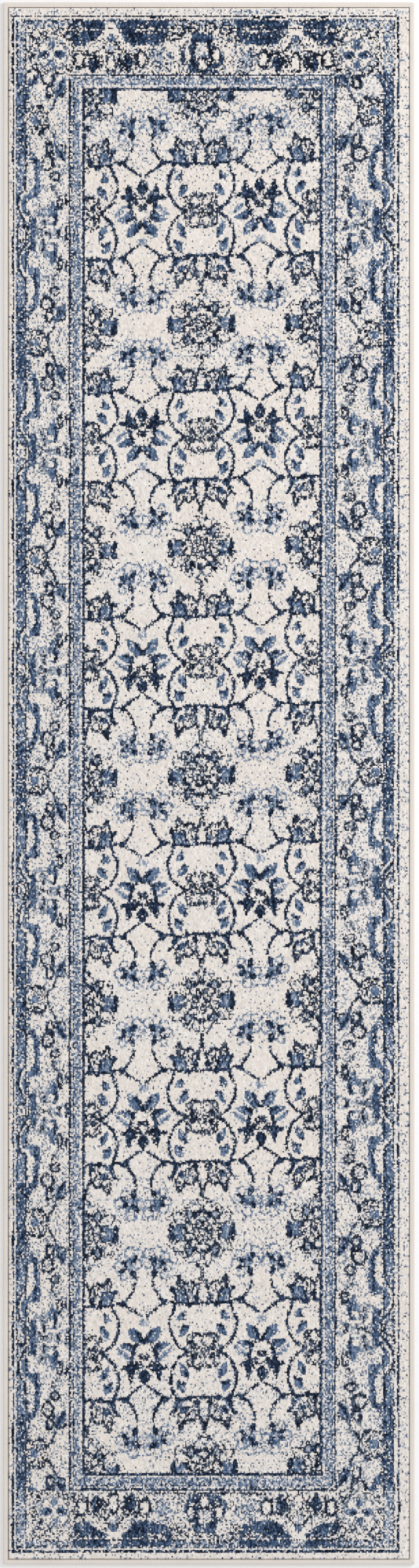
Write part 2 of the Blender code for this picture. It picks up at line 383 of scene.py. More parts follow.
# %% Draw the rings of vine and the medallion between them
def draw_rings(paper):
    paper.line([(52, 127), (55, 137), (58, 146), (62.5, 154), (64, 165), (63, 177), (59, 188), (52, 200),
                (43, 208), (33, 213)], (5.2, 4.8), NAVY, 0.92)
    paper.line([(33, 218), (43, 225), (52, 233), (58, 245), (62.5, 257), (63, 269), (61, 282), (57, 291),
                (53, 301)], (4.8, 5.2), NAVY, 0.92)
    paper.patch([(36, 142), (44, 146), (51, 157), (44, 160), (35, 158)], DENIM, 0.92)
    paper.line([(37, 143), (36.5, 157)], 4, NAVY, 0.8)
    paper.leaf((27, 167), (46, 191), 15, DENIM, 0.94, fat=0.35)
    paper.line([(28, 170), (34, 169), (38, 176)], 5, NAVY, 0.75)
    paper.leaf((45, 236), (30, 266), 15, DENIM, 0.94, fat=0.6)
    paper.line([(31, 264), (34, 258), (33, 250)], 4.6, NAVY, 0.7)
    paper.leaf((51, 267), (37, 292), 16, DENIM, 0.94, fat=0.55)
    paper.line([(36, 274), (43, 275), (49, 270)], 5, NAVY, 0.8)


def draw_medallion(paper):
    centre = np.array((0, 215))
    paper.disc(centre, 33, GREY, 0.3)
    paper.flower(centre, 10, 33, 14, INK, inner=0.5, solid=0.55, ring=2.8)
    for way in (-1, 1):
        paper.disc((11, 215 + way * 18), 6, CREAM)
        paper.disc((18, 215 + way * 8), (6, 5.4), INK, 0.9)
        paper.line([(0, 215 + way * 26), (8, 215 + way * 30), (18, 215 + way * 30), (28, 215 + way * 26),
                    (31, 215 + way * 17)], 4.4, INK, 0.75)
        paper.line([(20, 215 + way * 24), (24, 215 + way * 17), (30, 215 + way * 9)], 3.6, INK, 0.7)
        paper.disc((36, 215 + way * 18), (4.6, 6), CREAM)
    paper.disc(centre, 11, INK, 0.6, ring=4)
    paper.disc(centre, 5, INK, 0.8, ring=3)
    paper.disc((32, 216), (5, 4), INK, 0.9)


print("rings and medallion drawn")

# %% Draw the carnations and the lotus
def draw_carnation(paper, foot, way):
    """A fan of scalloped petals on a dark heart; way is 1 for a flower that opens down."""
    u, v = foot
    paper.disc((u - 5, v + way * 26), (26, 27), SKY, 0.20)
    for across, up, size in ((-28, 23, 8), (-21, 38, 8), (-5, 48, 9), (10, 44, 9), (11, 26, 8), (-18, 5, 7)):
        paper.disc((u + across, v + way * up), size, CREAM)
        paper.disc((u + across, v + way * up), size, SKY, 0.7, ring=3.4)
        paper.disc((u + across, v + way * up), size, DENIM, 0.35, ring=3)
    paper.disc((u - 5, v + way * 26), (11, 11), DENIM, 0.8)
    paper.leaf((u + 3, v - way * 2), (u - 4, v + way * 19), 11, NAVY, 0.96)
    for (fu, fv), (tu, tv), wide in (((-6, 25), (10, 42), 11), ((-11, 21), (-21, 34), 9),
                                     ((-10, 20), (-27, 13), 8)):
        paper.leaf((u + fu, v + way * fv), (u + tu, v + way * tv), wide, NAVY, fat=0.6)
    paper.disc((u - 7, v + way * 21), 4, SKY, 0.85)


def draw_carnations(paper):
    draw_carnation(paper, (92, 79), -1)
    draw_carnation(paper, (94, 351), 1)
    paper.line([(95, 88), (92, 100), (87, 108), (80, 118), (73, 124)], (3.8, 5.4), NAVY)
    paper.line([(73, 124), (83, 132), (93, 138), (100, 143), (108, 148)], (5.4, 3.8), NAVY, 0.88)
    paper.line([(75, 302), (85, 310), (92, 320), (96, 330), (98, 343)], (5.6, 4), NAVY)
    paper.line([(107, 277), (97, 283), (87, 290), (80, 295), (75, 302)], (3.6, 5.4), NAVY, 0.9)


def draw_lotus(paper):
    paper.disc((109, 159), (6, 7), SKY, 0.85)
    paper.leaf((109, 199), (82, 168), 21, DENIM, 0.94)
    paper.line([(98, 176), (105, 186), (111, 196)], (5, 9), NAVY)
    paper.leaf((98, 211), (64, 201), 18, DENIM, 0.94)
    paper.line([(82, 201), (90, 204), (97, 210)], (7, 10), NAVY)
    paper.leaf((89, 229), (58, 207), 15, SKY, 0.8)
    paper.line([(62, 211), (74, 221), (86, 228)], 4.4, DENIM, 0.7)
    paper.line([(66, 207), (78, 213), (86, 221)], 2.8, CREAM)
    paper.line([(94, 208), (90, 220), (88, 238)], (6, 7.4), NAVY, 0.94)
    paper.line([(99, 198), (102, 206)], 4.4, INK, 0.85)
    paper.disc((104, 211), (7, 8), CREAM)
    paper.disc((108, 224), (6, 6.4), INK, 0.82)
    paper.disc((100, 236), (6.4, 5.4), INK, 0.85)
    paper.line([(92, 238), (104, 242), (112.7, 241)], 4, INK, 0.75)
    paper.disc((87, 243), (8.4, 8.4), NAVY, 0.96)
    paper.leaf((84, 243), (68, 243), 9, NAVY, 0.94, fat=0.6)
    paper.leaf((88, 240), (85, 271), 13, NAVY, 0.94, fat=0.3)
    paper.leaf((112.7, 245), (112.7, 276), 21, NAVY, 0.94, fat=0.42)
    paper.leaf((98, 240), (97, 254), 8, NAVY, 0.9, fat=0.4)


print("carnations and lotus drawn")

# %% [markdown]
# ## Repeating the field
# Folding is what a kaleidoscope does: the distance from the nearest rosette column is the same on both
# of its sides, so the right half of each motif is enough. Downwards the cell repeats every 437 mm. The
# panel isn't centred on the columns, so the outer ones are cut by the stripe, as in a rug cut from a
# wider design, and the rows run slightly uphill. In the two rows at the head the lotus stands the other
# way up.

# %% Yarn the field
COLUMN_X = -15.6
HALF_COLUMN = 112.7
ROW_Y, REPEAT = 12.4, 437.4
LOTUS_MIRROR = 431
SKEW = 0.03

u_field = np.abs((LEANING - COLUMN_X + DRIFT_X + HALF_COLUMN) % (2 * HALF_COLUMN) - HALF_COLUMN)
down_field = ROW_Y - PULLED + SKEW * (X - COLUMN_X)
v_field = (down_field + DRIFT_Y) % REPEAT
head_rows = np.floor(down_field / REPEAT) < -1.5

field = Paper(IN_FIELD, u_field, v_field, 11)
draw_carnations(field)
draw_lotus(Paper(IN_FIELD & ~head_rows, u_field, v_field, 13))
draw_lotus(Paper(IN_FIELD & head_rows, u_field, LOTUS_MIRROR - v_field, 14))
for draw in (draw_crown, draw_rings, draw_medallion, draw_base, draw_rosette):
    draw(field)
draw_rosette(Paper(IN_FIELD & (v_field > REPEAT / 2), u_field, v_field - REPEAT, 12))
print("mean shade of the field:", round(float(shade[IN_FIELD].mean()), 2))

# %% [markdown]
# ## The side borders
# Along each side a blue stem winds in and out of the blue band, past discs, acanthus leaves and a broad
# palmette. One half of a repeat is drawn, from a disc down to the palmette's middle, with u as the way
# in from the rug's edge. The right side is the same drawing, wider and a little higher.

# %% Draw and yarn the side borders
SIDE_REPEAT = 423.9
SIDE_START = 6.4


def draw_stem(paper):
    paper.patch([(26, -3), (47, -3), (51, 30), (51, 46), (56, 60), (64, 70), (68, 80), (58, 82), (50, 75),
                 (26, 76)], ROYAL, 0.62)
    paper.patch([(30, 14), (48, 6), (50, 50), (56, 66), (40, 74), (30, 70)], NAVY, 0.28)
    paper.patch([(26, 74), (46, 74), (44, 130), (32, 148), (26, 150)], DENIM, 0.5)
    paper.patch([(56, 62), (66, 72), (70, 84), (70, 100), (72, 125), (70, 146), (54, 148), (47, 152),
                 (45, 142), (58, 126), (60, 110), (57, 92), (50, 76)], DENIM, 0.92)
    paper.line([(59, 68), (63, 90), (63, 110), (62, 128), (63, 144)], 6, NAVY, 0.6)
    paper.line([(54, 142), (43, 149), (41, 162), (43, 176), (50, 190), (56, 202)], 10, DENIM, 0.88)
    paper.line([(47, 150), (46.5, 165), (48, 178), (55, 190)], 4, NAVY, 0.82)
    paper.line([(45, 78), (45, 92), (44, 112), (42, 128), (34, 138), (30, 148), (30, 164), (35, 178),
                (41, 188), (48, 198), (50, 214)], 3.8, INK, 0.85)
    paper.line([(57, 98), (60, 112), (58, 122), (49, 129), (39, 138), (35, 149), (34, 164), (39, 176),
                (45, 184), (53, 194)], 3.2, CREAM, 0.85)
    paper.disc((53, 83), (5, 7.4), CREAM)
    paper.line([(52, 92), (54, 104)], 3, CREAM, 0.5)


def draw_side_flowers(paper):
    middle = np.array((61, 1))
    paper.disc(middle, (18, 19), CREAM)
    paper.flower(middle, 8, 21, 11, INK, inner=0.5, solid=0.62, ring=3)
    paper.disc(middle, 7.5, DENIM, 0.95)
    paper.line([(51, 22), (62, 25), (72, 26), (79, 20), (83, 10)], 4.4, INK, 0.8)
    paper.disc((73, 24), (5.4, 4.6), INK, 0.85)
    paper.line([(86, 3), (88, 15), (97, 26), (101, 40)], 4, INK, 0.85)
    paper.line([(78, 30), (86, 34), (88, 42)], 3.4, GREY, 0.6)
    paper.disc((90, 53), (7, 9.4), INK, 0.85, ring=4.4)
    paper.line([(84, 43), (84.5, 62)], 4.4, NAVY)
    paper.leaf((99, 36), (121, 81), 15, DENIM)
    paper.leaf((103, 50), (119, 79), 8, NAVY)
    paper.line([(103, 47), (112, 46), (119, 49), (119, 61)], 4, INK, 0.85)
    paper.line([(99, 62), (108, 73)], 3.4, SKY, 0.85)
    paper.disc((85.5, 80), (11, 13), INK, ring=4.6)
    paper.line([(96, 62), (97, 84)], 5, INK)
    paper.disc((85, 80), (5, 7), GREY, 0.25)
    paper.line([(104, 84), (112, 90), (122, 92)], 3, GREY, 0.5)
    paper.disc((100, 105), (8, 7.6), INK, 0.85, ring=4.4)
    paper.disc((100, 105), 3.4, GREY, 0.8)
    paper.patch([(93, 118), (107, 118), (110, 132), (99, 142), (92, 132)], GREY, 0.5)
    paper.line([(94, 120), (98, 132), (104, 138)], 3, INK, 0.6)
    paper.disc((109, 155), (4.6, 11), INK, 0.85, ring=3.6)
    paper.leaf((122, 138), (122, 162), 7, NAVY, 0.94)


def draw_side_palmette(paper):
    paper.patch([(60, 168), (84, 166), (94, 172), (94, 214), (58, 214), (56, 190)], SKY, 0.6)
    paper.patch([(60, 168), (84, 166), (94, 172), (94, 214), (58, 214), (56, 190)], GREY, 0.3)
    paper.leaf((97, 202), (95, 150), 19, DENIM, 0.94, fat=0.45)
    paper.line([(100, 166), (101, 184), (99, 197)], 5, NAVY, 0.85)
    paper.patch([(54, 180), (63, 180), (64, 214), (53, 214)], ROYAL)
    paper.line([(66, 180), (68, 192), (74, 201), (84, 206)], 4.4, CREAM)
    paper.line([(75, 174), (79, 188), (78, 200)], 4.4, INK, 0.7)
    paper.line([(70, 204), (78, 210), (90, 212)], 4, INK, 0.6)
    paper.disc((92, 186), (6, 6), CREAM)
    paper.patch([(98, 204), (120, 198), (128, 200), (128, 214), (92, 214)], SKY, 0.7)
    paper.line([(86, 199), (101, 200), (112, 194), (119, 186)], 5, CREAM)
    paper.patch([(119, 199), (128.5, 198), (128.5, 214), (120, 214)], NAVY, 0.85)
    paper.disc((107, 209), (5, 6), INK, 0.75)
    paper.disc((114, 211), (4, 5), CREAM)
    paper.disc((35, 211), (8, 12), CREAM, 0.7)
    paper.disc((36, 211), (9, 14), INK, 0.7, ring=4)
    paper.disc((35, 211), 3.4, DENIM, 0.8)


for side, stretch, shift, lift, seed in (("left", 1.0, 0, 0, 21), ("right", 1.2, 4, 16.5, 22)):
    on_side = (IN_BORDER | IN_BLUE) & ~at_an_end & (DEPTH[side] < (HIGH.x - LOW.x) * MM / 2)
    u_side = (DEPTH[side] - shift) / stretch + DRIFT_X
    v_side = (SIDE_START + lift - PULLED + DRIFT_Y) % SIDE_REPEAT
    border = Paper(on_side, u_side, np.minimum(v_side, SIDE_REPEAT - v_side), seed)
    for draw in (draw_stem, draw_side_flowers, draw_side_palmette):
        draw(border)
print("mean shade of the border:", round(float(shade[IN_BORDER].mean()), 2))

# %% [markdown]
# ## The end borders
# Each end has a palmette in the middle, two pine cones, blue fills that hang from the band between
# them, and a four-petalled flower in each corner. Half of an end is drawn: u runs out from its middle
# and v in from the rug's edge.

# %% Draw and yarn the two ends
def draw_fills(paper):
    """The blue ground that shows between the pine cones and the middle palmette."""
    paper.patch([(62, 36), (160, 36), (160, 54), (150, 66), (140, 82), (112, 84), (72, 78), (68, 64)],
                ROYAL, 0.92)
    paper.patch([(112, 60), (150, 46), (146, 66), (134, 80), (114, 80)], NAVY, 0.65)
    paper.patch([(76, 46), (124, 46), (126, 56), (100, 60), (72, 62)], CREAM, 0.5)
    paper.patch([(76, 44), (124, 44), (124, 60), (72, 62)], INK, 0.3)
    paper.patch([(187, 36), (250, 36), (252, 66), (244, 82), (222, 82), (206, 70), (190, 60)], ROYAL, 0.85)
    paper.patch([(190, 42), (216, 42), (218, 70), (208, 74), (196, 62)], NAVY, 0.5)
    paper.patch([(226, 46), (262, 46), (256, 62), (230, 60)], CREAM, 0.4)
    paper.patch([(226, 46), (262, 46), (256, 62), (230, 60)], INK, 0.28)


def draw_pine_cone(paper):
    paper.patch([(176, 58), (194, 82), (212, 96), (222, 132), (132, 132), (142, 96), (158, 82)], CREAM, 0.72)
    paper.disc((175, 54), (12, 13), CREAM, 0.95)
    paper.disc((175, 70), (7.4, 7.4), DENIM)
    paper.disc((175, 87), (10, 8), SKY, 0.6)
    paper.disc((175, 87), (13, 11), INK, 0.5, ring=4)
    paper.disc((175, 118), (5.4, 15), CREAM, 0.95)
    paper.disc((175, 118), (9, 19), INK, 0.6, ring=4)
    for way in (-1, 1):
        paper.line([(175 + way * 8, 76), (175 + way * 18, 90), (175 + way * 30, 96), (175 + way * 44, 102)],
                   4, INK, 0.75)
        paper.leaf((175 + way * 34, 137), (175 + way * 31, 97), 22, NAVY, 0.94)
        paper.disc((175 + way * 38, 118), (3, 9), DENIM, 0.6)
        paper.disc((175 + way * 17, 112), (4, 13), INK, 0.75)
        paper.line([(175 + way * 22, 98), (175 + way * 24, 116), (175 + way * 20, 132)], 4, INK, 0.6)
        paper.disc((175 + way * 60, 110), (10, 15), CREAM, 0.85)
        paper.disc((175 + way * 60, 110), (10, 15), INK, 0.78, ring=4.4)
        paper.line([(175 + way * 44, 96), (175 + way * 50, 108), (175 + way * 50, 128)], 4, INK, 0.7)


def draw_end_middle(paper):
    paper.disc((78, 104), (24, 24), SKY, 0.10)
    paper.flower(np.array((82, 106)), 7, 24, 15, DENIM, inner=0.3, solid=0.5, ring=2.8)
    paper.disc((82, 106), 7, SKY, 0.7)
    paper.flower(np.array((60, 62)), 6, 15, 12, INK, inner=0.3, solid=0.55, ring=3)
    for spot in ((44, 54), (16, 50)):
        paper.disc(spot, (10, 9), CREAM, 0.8)
        paper.disc(spot, (10, 9), INK, 0.75, ring=4)
        paper.disc(spot, 3, GREY, 0.8)
    paper.patch([(0, 61), (18, 62), (22, 70), (20, 80), (0, 80)], ROYAL, 0.95)
    paper.patch([(0, 80), (8, 80), (8, 108), (0, 110)], CREAM)
    paper.patch([(0, 80), (8, 80), (8, 108), (0, 110)], SKY, 0.4)
    paper.line([(15, 76), (17, 100), (14, 130)], 9, NAVY, 0.9)
    paper.line([(19, 84), (30, 92), (37, 108), (35, 118), (22, 124)], (5, 9), ROYAL, 0.85)
    paper.patch([(0, 124), (26, 122), (34, 132), (30, 138), (0, 138)], ROYAL, 0.6)
    paper.disc((27, 100), (5.4, 11), CREAM, 0.95)
    paper.disc((27, 100), (8, 14), INK, 0.55, ring=3)
    paper.disc((2, 121), (4, 11), CREAM, 0.95)
    paper.disc((2, 121), (7, 14), INK, 0.8, ring=3.6)
    paper.line([(112, 137), (60, 138), (0, 137)], 4, INK, 0.6)


def draw_corner(paper):
    middle = np.array((288, 101))
    paper.disc(middle, (36, 40), CREAM, 0.5)
    paper.flower(middle, 10, 42, 20, INK, inner=0.6, solid=0.5, ring=3.4)
    paper.flower(middle, 10, 36, 14, SKY, inner=0.65, solid=0.4)
    paper.disc(middle, (27, 28), CREAM, 0.85)
    paper.disc(middle, (28, 30), GREY, 0.5, ring=4)
    for way in (-1, 1):
        paper.disc((288, 101 + way * 19), (10, 11), GREY, 0.5, ring=3)
        paper.disc((288, 101 + way * 19), (6.4, 8), DENIM, 0.95)
        paper.disc((288 + way * 15, 101), (11, 8), DENIM, 0.92)
        paper.disc((288 + way * 12, 101), (6, 4.4), NAVY, 0.8)
    paper.line([(236, 62), (246, 84), (242, 108), (252, 132)], 4, INK, 0.6)
    paper.line([(326, 60), (330, 84), (326, 120)], 4, INK, 0.45)
    for spot in ((318, 62), (254, 64), (322, 136), (262, 136)):
        paper.disc(spot, (10, 8), INK, 0.6, ring=4)


for side, middle_x, seed in (("head", -13.6, 31), ("foot", -8.0, 32)):
    at_this_end = (IN_BORDER | IN_BLUE) & (DEPTH[side] < STARTS["guard_stripe"][side])
    u_end = np.abs(X - middle_x + DRIFT_X) * np.where(X > middle_x, 0.97, 1.0)
    end = Paper(at_this_end, u_end, DEPTH[side] + DRIFT_Y, seed)
    for draw in (draw_fills, draw_pine_cone, draw_end_middle, draw_corner):
        draw(end)
print("both ends drawn")

# %% [markdown]
# ## Lines that run round the rug
# Dark lines one tuft wide, with a pale hairline beside them, part the bands. A line keeps its own
# distance from each edge, because the panel isn't quite centred. It is missed here and there, and it
# drifts by a tuft now and then, as a worn line does. The lines at the foot are a little bolder.

# %% Draw the frame lines
def frame_line(left, right, head, foot, yarn, solid, wide=3.2, seed=50):
    """A line round the rug, at its own depth in from each edge."""
    inward = np.min([DEPTH[side] - depth for side, depth in zip(SIDES, (left, right, head, foot))], axis=0)
    missed = np.random.default_rng(seed).random(X.shape) > solid
    half = wide / 2 * np.where(DEPTH["foot"] < STARTS["field"]["foot"], 1.3, 1.0)
    on = (np.abs(inward + 0.9 * patches(40, 40, seed + 1)) < half) & ~missed
    put(on, yarn)


frame_line(19.8, 31.5, 28.0, 25.5, NAVY, 0.86, wide=3.8, seed=51)
frame_line(23.5, 36.5, 31.5, 30.5, CREAM, 0.85, seed=53)
frame_line(27.0, 40.0, 35.0, 34.5, INK, 0.40, seed=55)
frame_line(43.5, 60.0, 51.0, 47.0, INK, 0.45, seed=57)
frame_line(47.0, 63.0, 54.5, 50.5, CREAM, 0.40, seed=59)
frame_line(124.8, 148.8, 138.0, 141.0, CREAM, 0.60, seed=61)
frame_line(128.4, 152.6, 141.4, 143.6, NAVY, 0.88, wide=3.8, seed=63)
frame_line(131.4, 155.6, 144.4, 148.0, CREAM, 0.45, seed=65)
frame_line(134.4, 158.6, 147.4, 151.2, INK, 0.30, seed=67)
frame_line(149.6, 174.4, 162.4, 169.6, CREAM, 0.80, seed=69)
frame_line(154.2, 179.8, 167.4, 174.2, NAVY, 0.88, wide=4.8, seed=71)
print("eleven lines drawn")

# %% [markdown]
# ## Wear, and the last mixing of the yarns
# The rug is woven to look old: foggy belts where pale blue tufts are sprinkled over the cream, rows of
# short dashes, bare clean belts, and single dark specks. All of it is placed by where it falls along
# the rug. Tufts beside a dark line pick up some of its grey, and some in the line are thin. The head
# border is dyed a little deeper. Last, no two tufts take the dye alike, so each one's shade is moved.

# %% Add the wear and mix the yarns
FOG_BELTS = ((1260, 90, 0.26), (960, 30, 0.20), (20, 90, 0.14), (-860, 120, 0.14),
             (-1240, 110, 0.20), (790, 60, 0.10), (-420, 200, 0.02))   # middle, reach, strength
DASH_ROWS = (1250, 1232, 1216, 1020, 944, 820, 796, 780, 344, 140, -20, -60, -760, -800, -840, -1180, -1200)
BARE = 0.1          # a tuft paler than this is still cream
DARK = 0.6          # a tuft darker than this belongs to a line or a dark motif
HEAD_DEEPER = 0.09  # how much deeper the head border is dyed

dice = np.random.default_rng(80)
fog = np.zeros(X.shape)
for middle_y, reach, strength in FOG_BELTS:
    fog += strength * np.exp(-((Y - middle_y) / reach) ** 2)
fog = (0.05 + fog) * (1 + 0.8 * patches(45, 20, 81)) * (IN_FIELD + 0.7 * IN_BORDER)
sprinkled = (dice.random(X.shape) < fog) & (shade < BARE)
sky_tufts = sprinkled & (dice.random(X.shape) < 0.7)
grey_tufts = sprinkled & (dice.random(X.shape) < 0.3)
put(sky_tufts, SKY)
put(grey_tufts, GREY)

for dash_y in DASH_ROWS:
    on_row = np.abs(Y - dash_y + 2 * patches(120, 60, 83)) < TUFT_TALL / 2
    dashes = on_row & IN_FIELD & (shade < BARE) & (np.sin(X / 2.6 + 2 * patches(50, 50, 84)) > -0.1)
    dashes &= dice.random(X.shape) < 0.7
    put(dashes, SKY)

dark = shade > DARK
touched = np.roll(dark, 1, 0) | np.roll(dark, -1, 0) | np.roll(dark, 1, 1) | np.roll(dark, -1, 1)
frayed = touched & (shade < BARE) & ~IN_OUTER & (dice.random(X.shape) < 0.22)
put(frayed, GREY)
thinned = dark & ~IN_BLUE & (dice.random(X.shape) < 0.08)
shade[thinned] *= 0.6
shade[at_an_end & (Y > 0) & (shade > 0.4)] += HEAD_DEEPER

specks = (dice.random(X.shape) < 0.006) & (IN_FIELD | IN_BORDER | IN_OUTER)
put(specks, INK)
dash_share = 0.18 + 0.12 * patches(80, 200, 86)
outer_dashes = IN_OUTER & (np.sin(Y / 2.9) > 0.2) & (dice.random(X.shape) < dash_share)
put(outer_dashes, SKY)
outer_dashes &= (X > 0) & (dice.random(X.shape) < 0.4)
put(outer_dashes, DENIM)

streak = dice.normal(0, 1, X.shape)
streak = 0.8 * streak + 0.45 * np.roll(streak, 1, axis=0)
spread = 0.045 + 0.17 * np.sqrt(np.clip(shade * (1.15 - shade), 0, 1))
shade = np.clip(shade + spread * streak, SHADE_LOW, SHADE_HIGH)
warm = 0.36 + 0.4 * np.maximum(Y, 0) / Y.max() + 0.45 * patches(70, 110, 88)
warm = np.clip(warm + 0.25 * dice.normal(0, 1, X.shape), 0, 1)
print("shade runs from", round(float(shade.min()), 2), "to", round(float(shade.max()), 2))

# %% [markdown]
# ## One small class for shader maths
# A material is a graph of nodes, and a graph written out link by link is hard to read. Wrapping a
# socket in a class with + - * / means that a formula in the script is a formula in the shader: each
# sign adds one Math node. Colours and vectors use Mix and Vector Math, as a Math node would grey them.

# %% Wrap sockets and start materials
class Flow:
    """A value that flows between shader nodes."""

    def __init__(self, tree, socket):
        self.tree, self.socket = tree, socket

    def node(self, kind, settings=(), out=0, **inputs):
        """Add a node: settings first, then its inputs by name, or by place as in_0."""
        made = self.tree.nodes.new(kind)
        for name, value in dict(settings).items():
            if name == "stops":
                fill_ramp(made.color_ramp, value)
            else:
                setattr(made, name, value)
        for name, value in inputs.items():
            key = int(name[3:]) if name.startswith("in_") else name.replace("_", " ")
            plug(self.tree, made.inputs[key], value)
        return Flow(self.tree, made.outputs[out])

    def maths(self, operation, first, second=0.0):
        return self.node("ShaderNodeMath", {"operation": operation}, in_0=first, in_1=second)

    def __add__(self, other):
        return self.maths("ADD", self, other)

    def __radd__(self, other):
        return self.maths("ADD", other, self)

    def __sub__(self, other):
        return self.maths("SUBTRACT", self, other)

    def __rsub__(self, other):
        return self.maths("SUBTRACT", other, self)

    def __mul__(self, other):
        return self.maths("MULTIPLY", self, other)

    def __rmul__(self, other):
        return self.maths("MULTIPLY", other, self)

    def __truediv__(self, other):
        return self.maths("DIVIDE", self, other)

    def bump(self, strength, distance):
        """A surface normal from this height."""
        return self.node("ShaderNodeBump", {}, Strength=strength, Distance=distance, Height=self)

    def blend(self, first, second):
        """Mix two colours by this value, as a share from 0 to 1."""
        settings = {"data_type": "RGBA", "clamp_factor": True}
        return self.node("ShaderNodeMix", settings, out=2, in_0=self, in_6=first, in_7=second)


def plug(tree, socket, value):
    """Link a flow to a socket, or set the socket's own value."""
    if isinstance(value, Flow):
        tree.links.new(value.socket, socket)
    else:
        socket.default_value = value


def fill_ramp(ramp, stops):
    """Give a colour ramp its stops, as (place, colour) pairs."""
    while len(ramp.elements) < len(stops):
        ramp.elements.new(0.5)
    for element, (place, colour) in zip(ramp.elements, stops):
        element.position, element.color = place, colour


def dye(red, green, blue_part):
    """A colour given as screen values from 0 to 255, as linear light."""
    parts = [part / 255 for part in (red, green, blue_part)]
    return tuple(p / 12.92 if p < 0.04 else ((p + 0.055) / 1.055) ** 2.4 for p in parts) + (1.0,)


def start_material(name):
    """A new material, its shader, and a flow to start formulas from."""
    material = bpy.data.materials.new(name)
    material.use_nodes = True
    tree = material.node_tree
    return material, tree, tree.nodes["Principled BSDF"], Flow(tree, None)


print("materials can be written as formulas")

# %% [markdown]
# ## Yarn
# Heat-set polypropylene yarn is soft and nearly matt, with a slight sheen where the light grazes its
# fibres. Each tuft carries two numbers from the squared paper, its shade and how blue it is, and two
# ramps turn them into colour: one for the greys and one for the blues. The tuft's own round top and the
# dark gap about it come from its place in the grid, and fine noise breaks up its fibres. That noise is a
# height which bumps the surface and is also painted into the colour, darker where the fibres lie low and
# paler where they stand high: painted shade and highlight on top of the yarn's own uneven tone.

# %% Make the pile yarn
YARN_STOPS = (0.0, 0.103, 0.205, 0.359, 0.530, 0.701, 0.829, 1.0)
GREY_DYES = ((251, 248, 246), (236, 229, 223), (212, 207, 204), (166, 168, 172),
             (118, 124, 133), (76, 82, 93), (40, 46, 57), (10, 14, 24))
BLUE_DYES = ((251, 248, 246), (236, 229, 223), (206, 209, 214), (151, 167, 190),
             (97, 120, 152), (54, 79, 113), (30, 48, 78), (9, 17, 33))


def yarn_material(name, warmth=1.0):
    """A cut pile of dyed yarn, its colours read from the tufts."""
    material, tree, shader, start = start_material(name)
    tuft_shade = start.node("ShaderNodeAttribute", {"attribute_name": "shade"}, out=2)
    tuft_blue = start.node("ShaderNodeAttribute", {"attribute_name": "blue"}, out=2)
    tuft_warm = start.node("ShaderNodeAttribute", {"attribute_name": "warm"}, out=2)
    place = start.node("ShaderNodeTexCoord", out=3)

    fibres = start.node("ShaderNodeTexNoise", out=0, Vector=place, Scale=1100.0, Detail=2.0, Roughness=0.6)
    clumps = start.node("ShaderNodeTexNoise", out=0, Vector=place, Scale=260.0, Detail=1.0)
    height = (fibres - 0.5) * 0.26 + (clumps - 0.5) * 0.22
    # Painted shade: the tuft's dye is moved darker where this fibre height is low and paler where it is high
    dye_and_fibre_shade = (tuft_shade + height * -0.55 - SHADE_LOW) / (SHADE_HIGH - SHADE_LOW)

    grey_stops, blue_stops = ([(at, dye(*parts)) for at, parts in zip(YARN_STOPS, dyes)]
                              for dyes in (GREY_DYES, BLUE_DYES))
    greys = start.node("ShaderNodeValToRGB", {"stops": grey_stops}, Fac=dye_and_fibre_shade)
    blues = start.node("ShaderNodeValToRGB", {"stops": blue_stops}, Fac=dye_and_fibre_shade)
    yarn = tuft_blue.blend(greys, blues)
    peach = start.maths("MAXIMUM", tuft_warm * 0.42 * warmth * (1 - dye_and_fibre_shade * 2.2), 0.0)
    tint = start.node("ShaderNodeMix", {"data_type": "RGBA", "blend_type": "MULTIPLY"}, out=2,
                      in_0=peach, in_6=yarn, in_7=(1.0, 0.93, 0.83, 1.0))
    plug(tree, shader.inputs["Base Color"], tint)
    plug(tree, shader.inputs["Roughness"], 0.86 + (clumps - 0.5) * 0.2)
    plug(tree, shader.inputs["Normal"], height.bump(0.5, 0.0006))
    shader.inputs["Specular IOR Level"].default_value = 0.06
    shader.inputs["Sheen Weight"].default_value = 0.03
    shader.inputs["Sheen Roughness"].default_value = 0.6
    return material


print("yarn has", len(YARN_STOPS), "dyes in grey and as many in blue")

# %% [markdown]
# ## Growing the pile
# A fur system could grow real fibres, but a rug this size has three hundred thousand tufts. Here each
# tuft is one face of a fine mesh. Its corners are pushed about a little, across and up and down, so the
# yarn looks tufted and not printed. The colour numbers ride on the faces. The mesh has walls and a
# base, so each band is a closed slab of pile, and neighbouring bands share the same corner places.

# %% Place every tuft's corners
corner_dice = np.random.default_rng(90)
CORNER_X, CORNER_Y = np.meshgrid(column_lines, row_lines)
inner = np.zeros(CORNER_X.shape, bool)
inner[1:-1, 1:-1] = True
CORNER_X = CORNER_X + inner * corner_dice.normal(0, 0.36, CORNER_X.shape)
CORNER_Y = CORNER_Y + inner * corner_dice.normal(0, 0.40, CORNER_X.shape)
dip = np.abs(corner_dice.normal(0, 0.35, CORNER_X.shape)) + 0.1
rim_drop = np.where(inner, 0.0, 0.9)
CORNER_Z = PILE_TOP * MM - dip - rim_drop
CORNERS = np.stack([CORNER_X, CORNER_Y, CORNER_Z], axis=-1) / MM
print("corners placed:", CORNER_X.size)

# %% [markdown]
# ## A map for the pile's paint
# When the rug is exported, its colours are painted onto a square picture, so each piece needs its
# faces laid out flat. A long strip is cut into lengths that lie side by side, with a margin between
# them, and all at one scale. That keeps the tufts as sharp as the picture allows. The base is never
# seen, so it gets only a narrow strip along the map's top.

# %% Cut a band into blocks and lay them on a map
MAP_MARGIN = 9.0
WALL_ON_MAP = 6.0
BASE_ON_MAP = 16.0


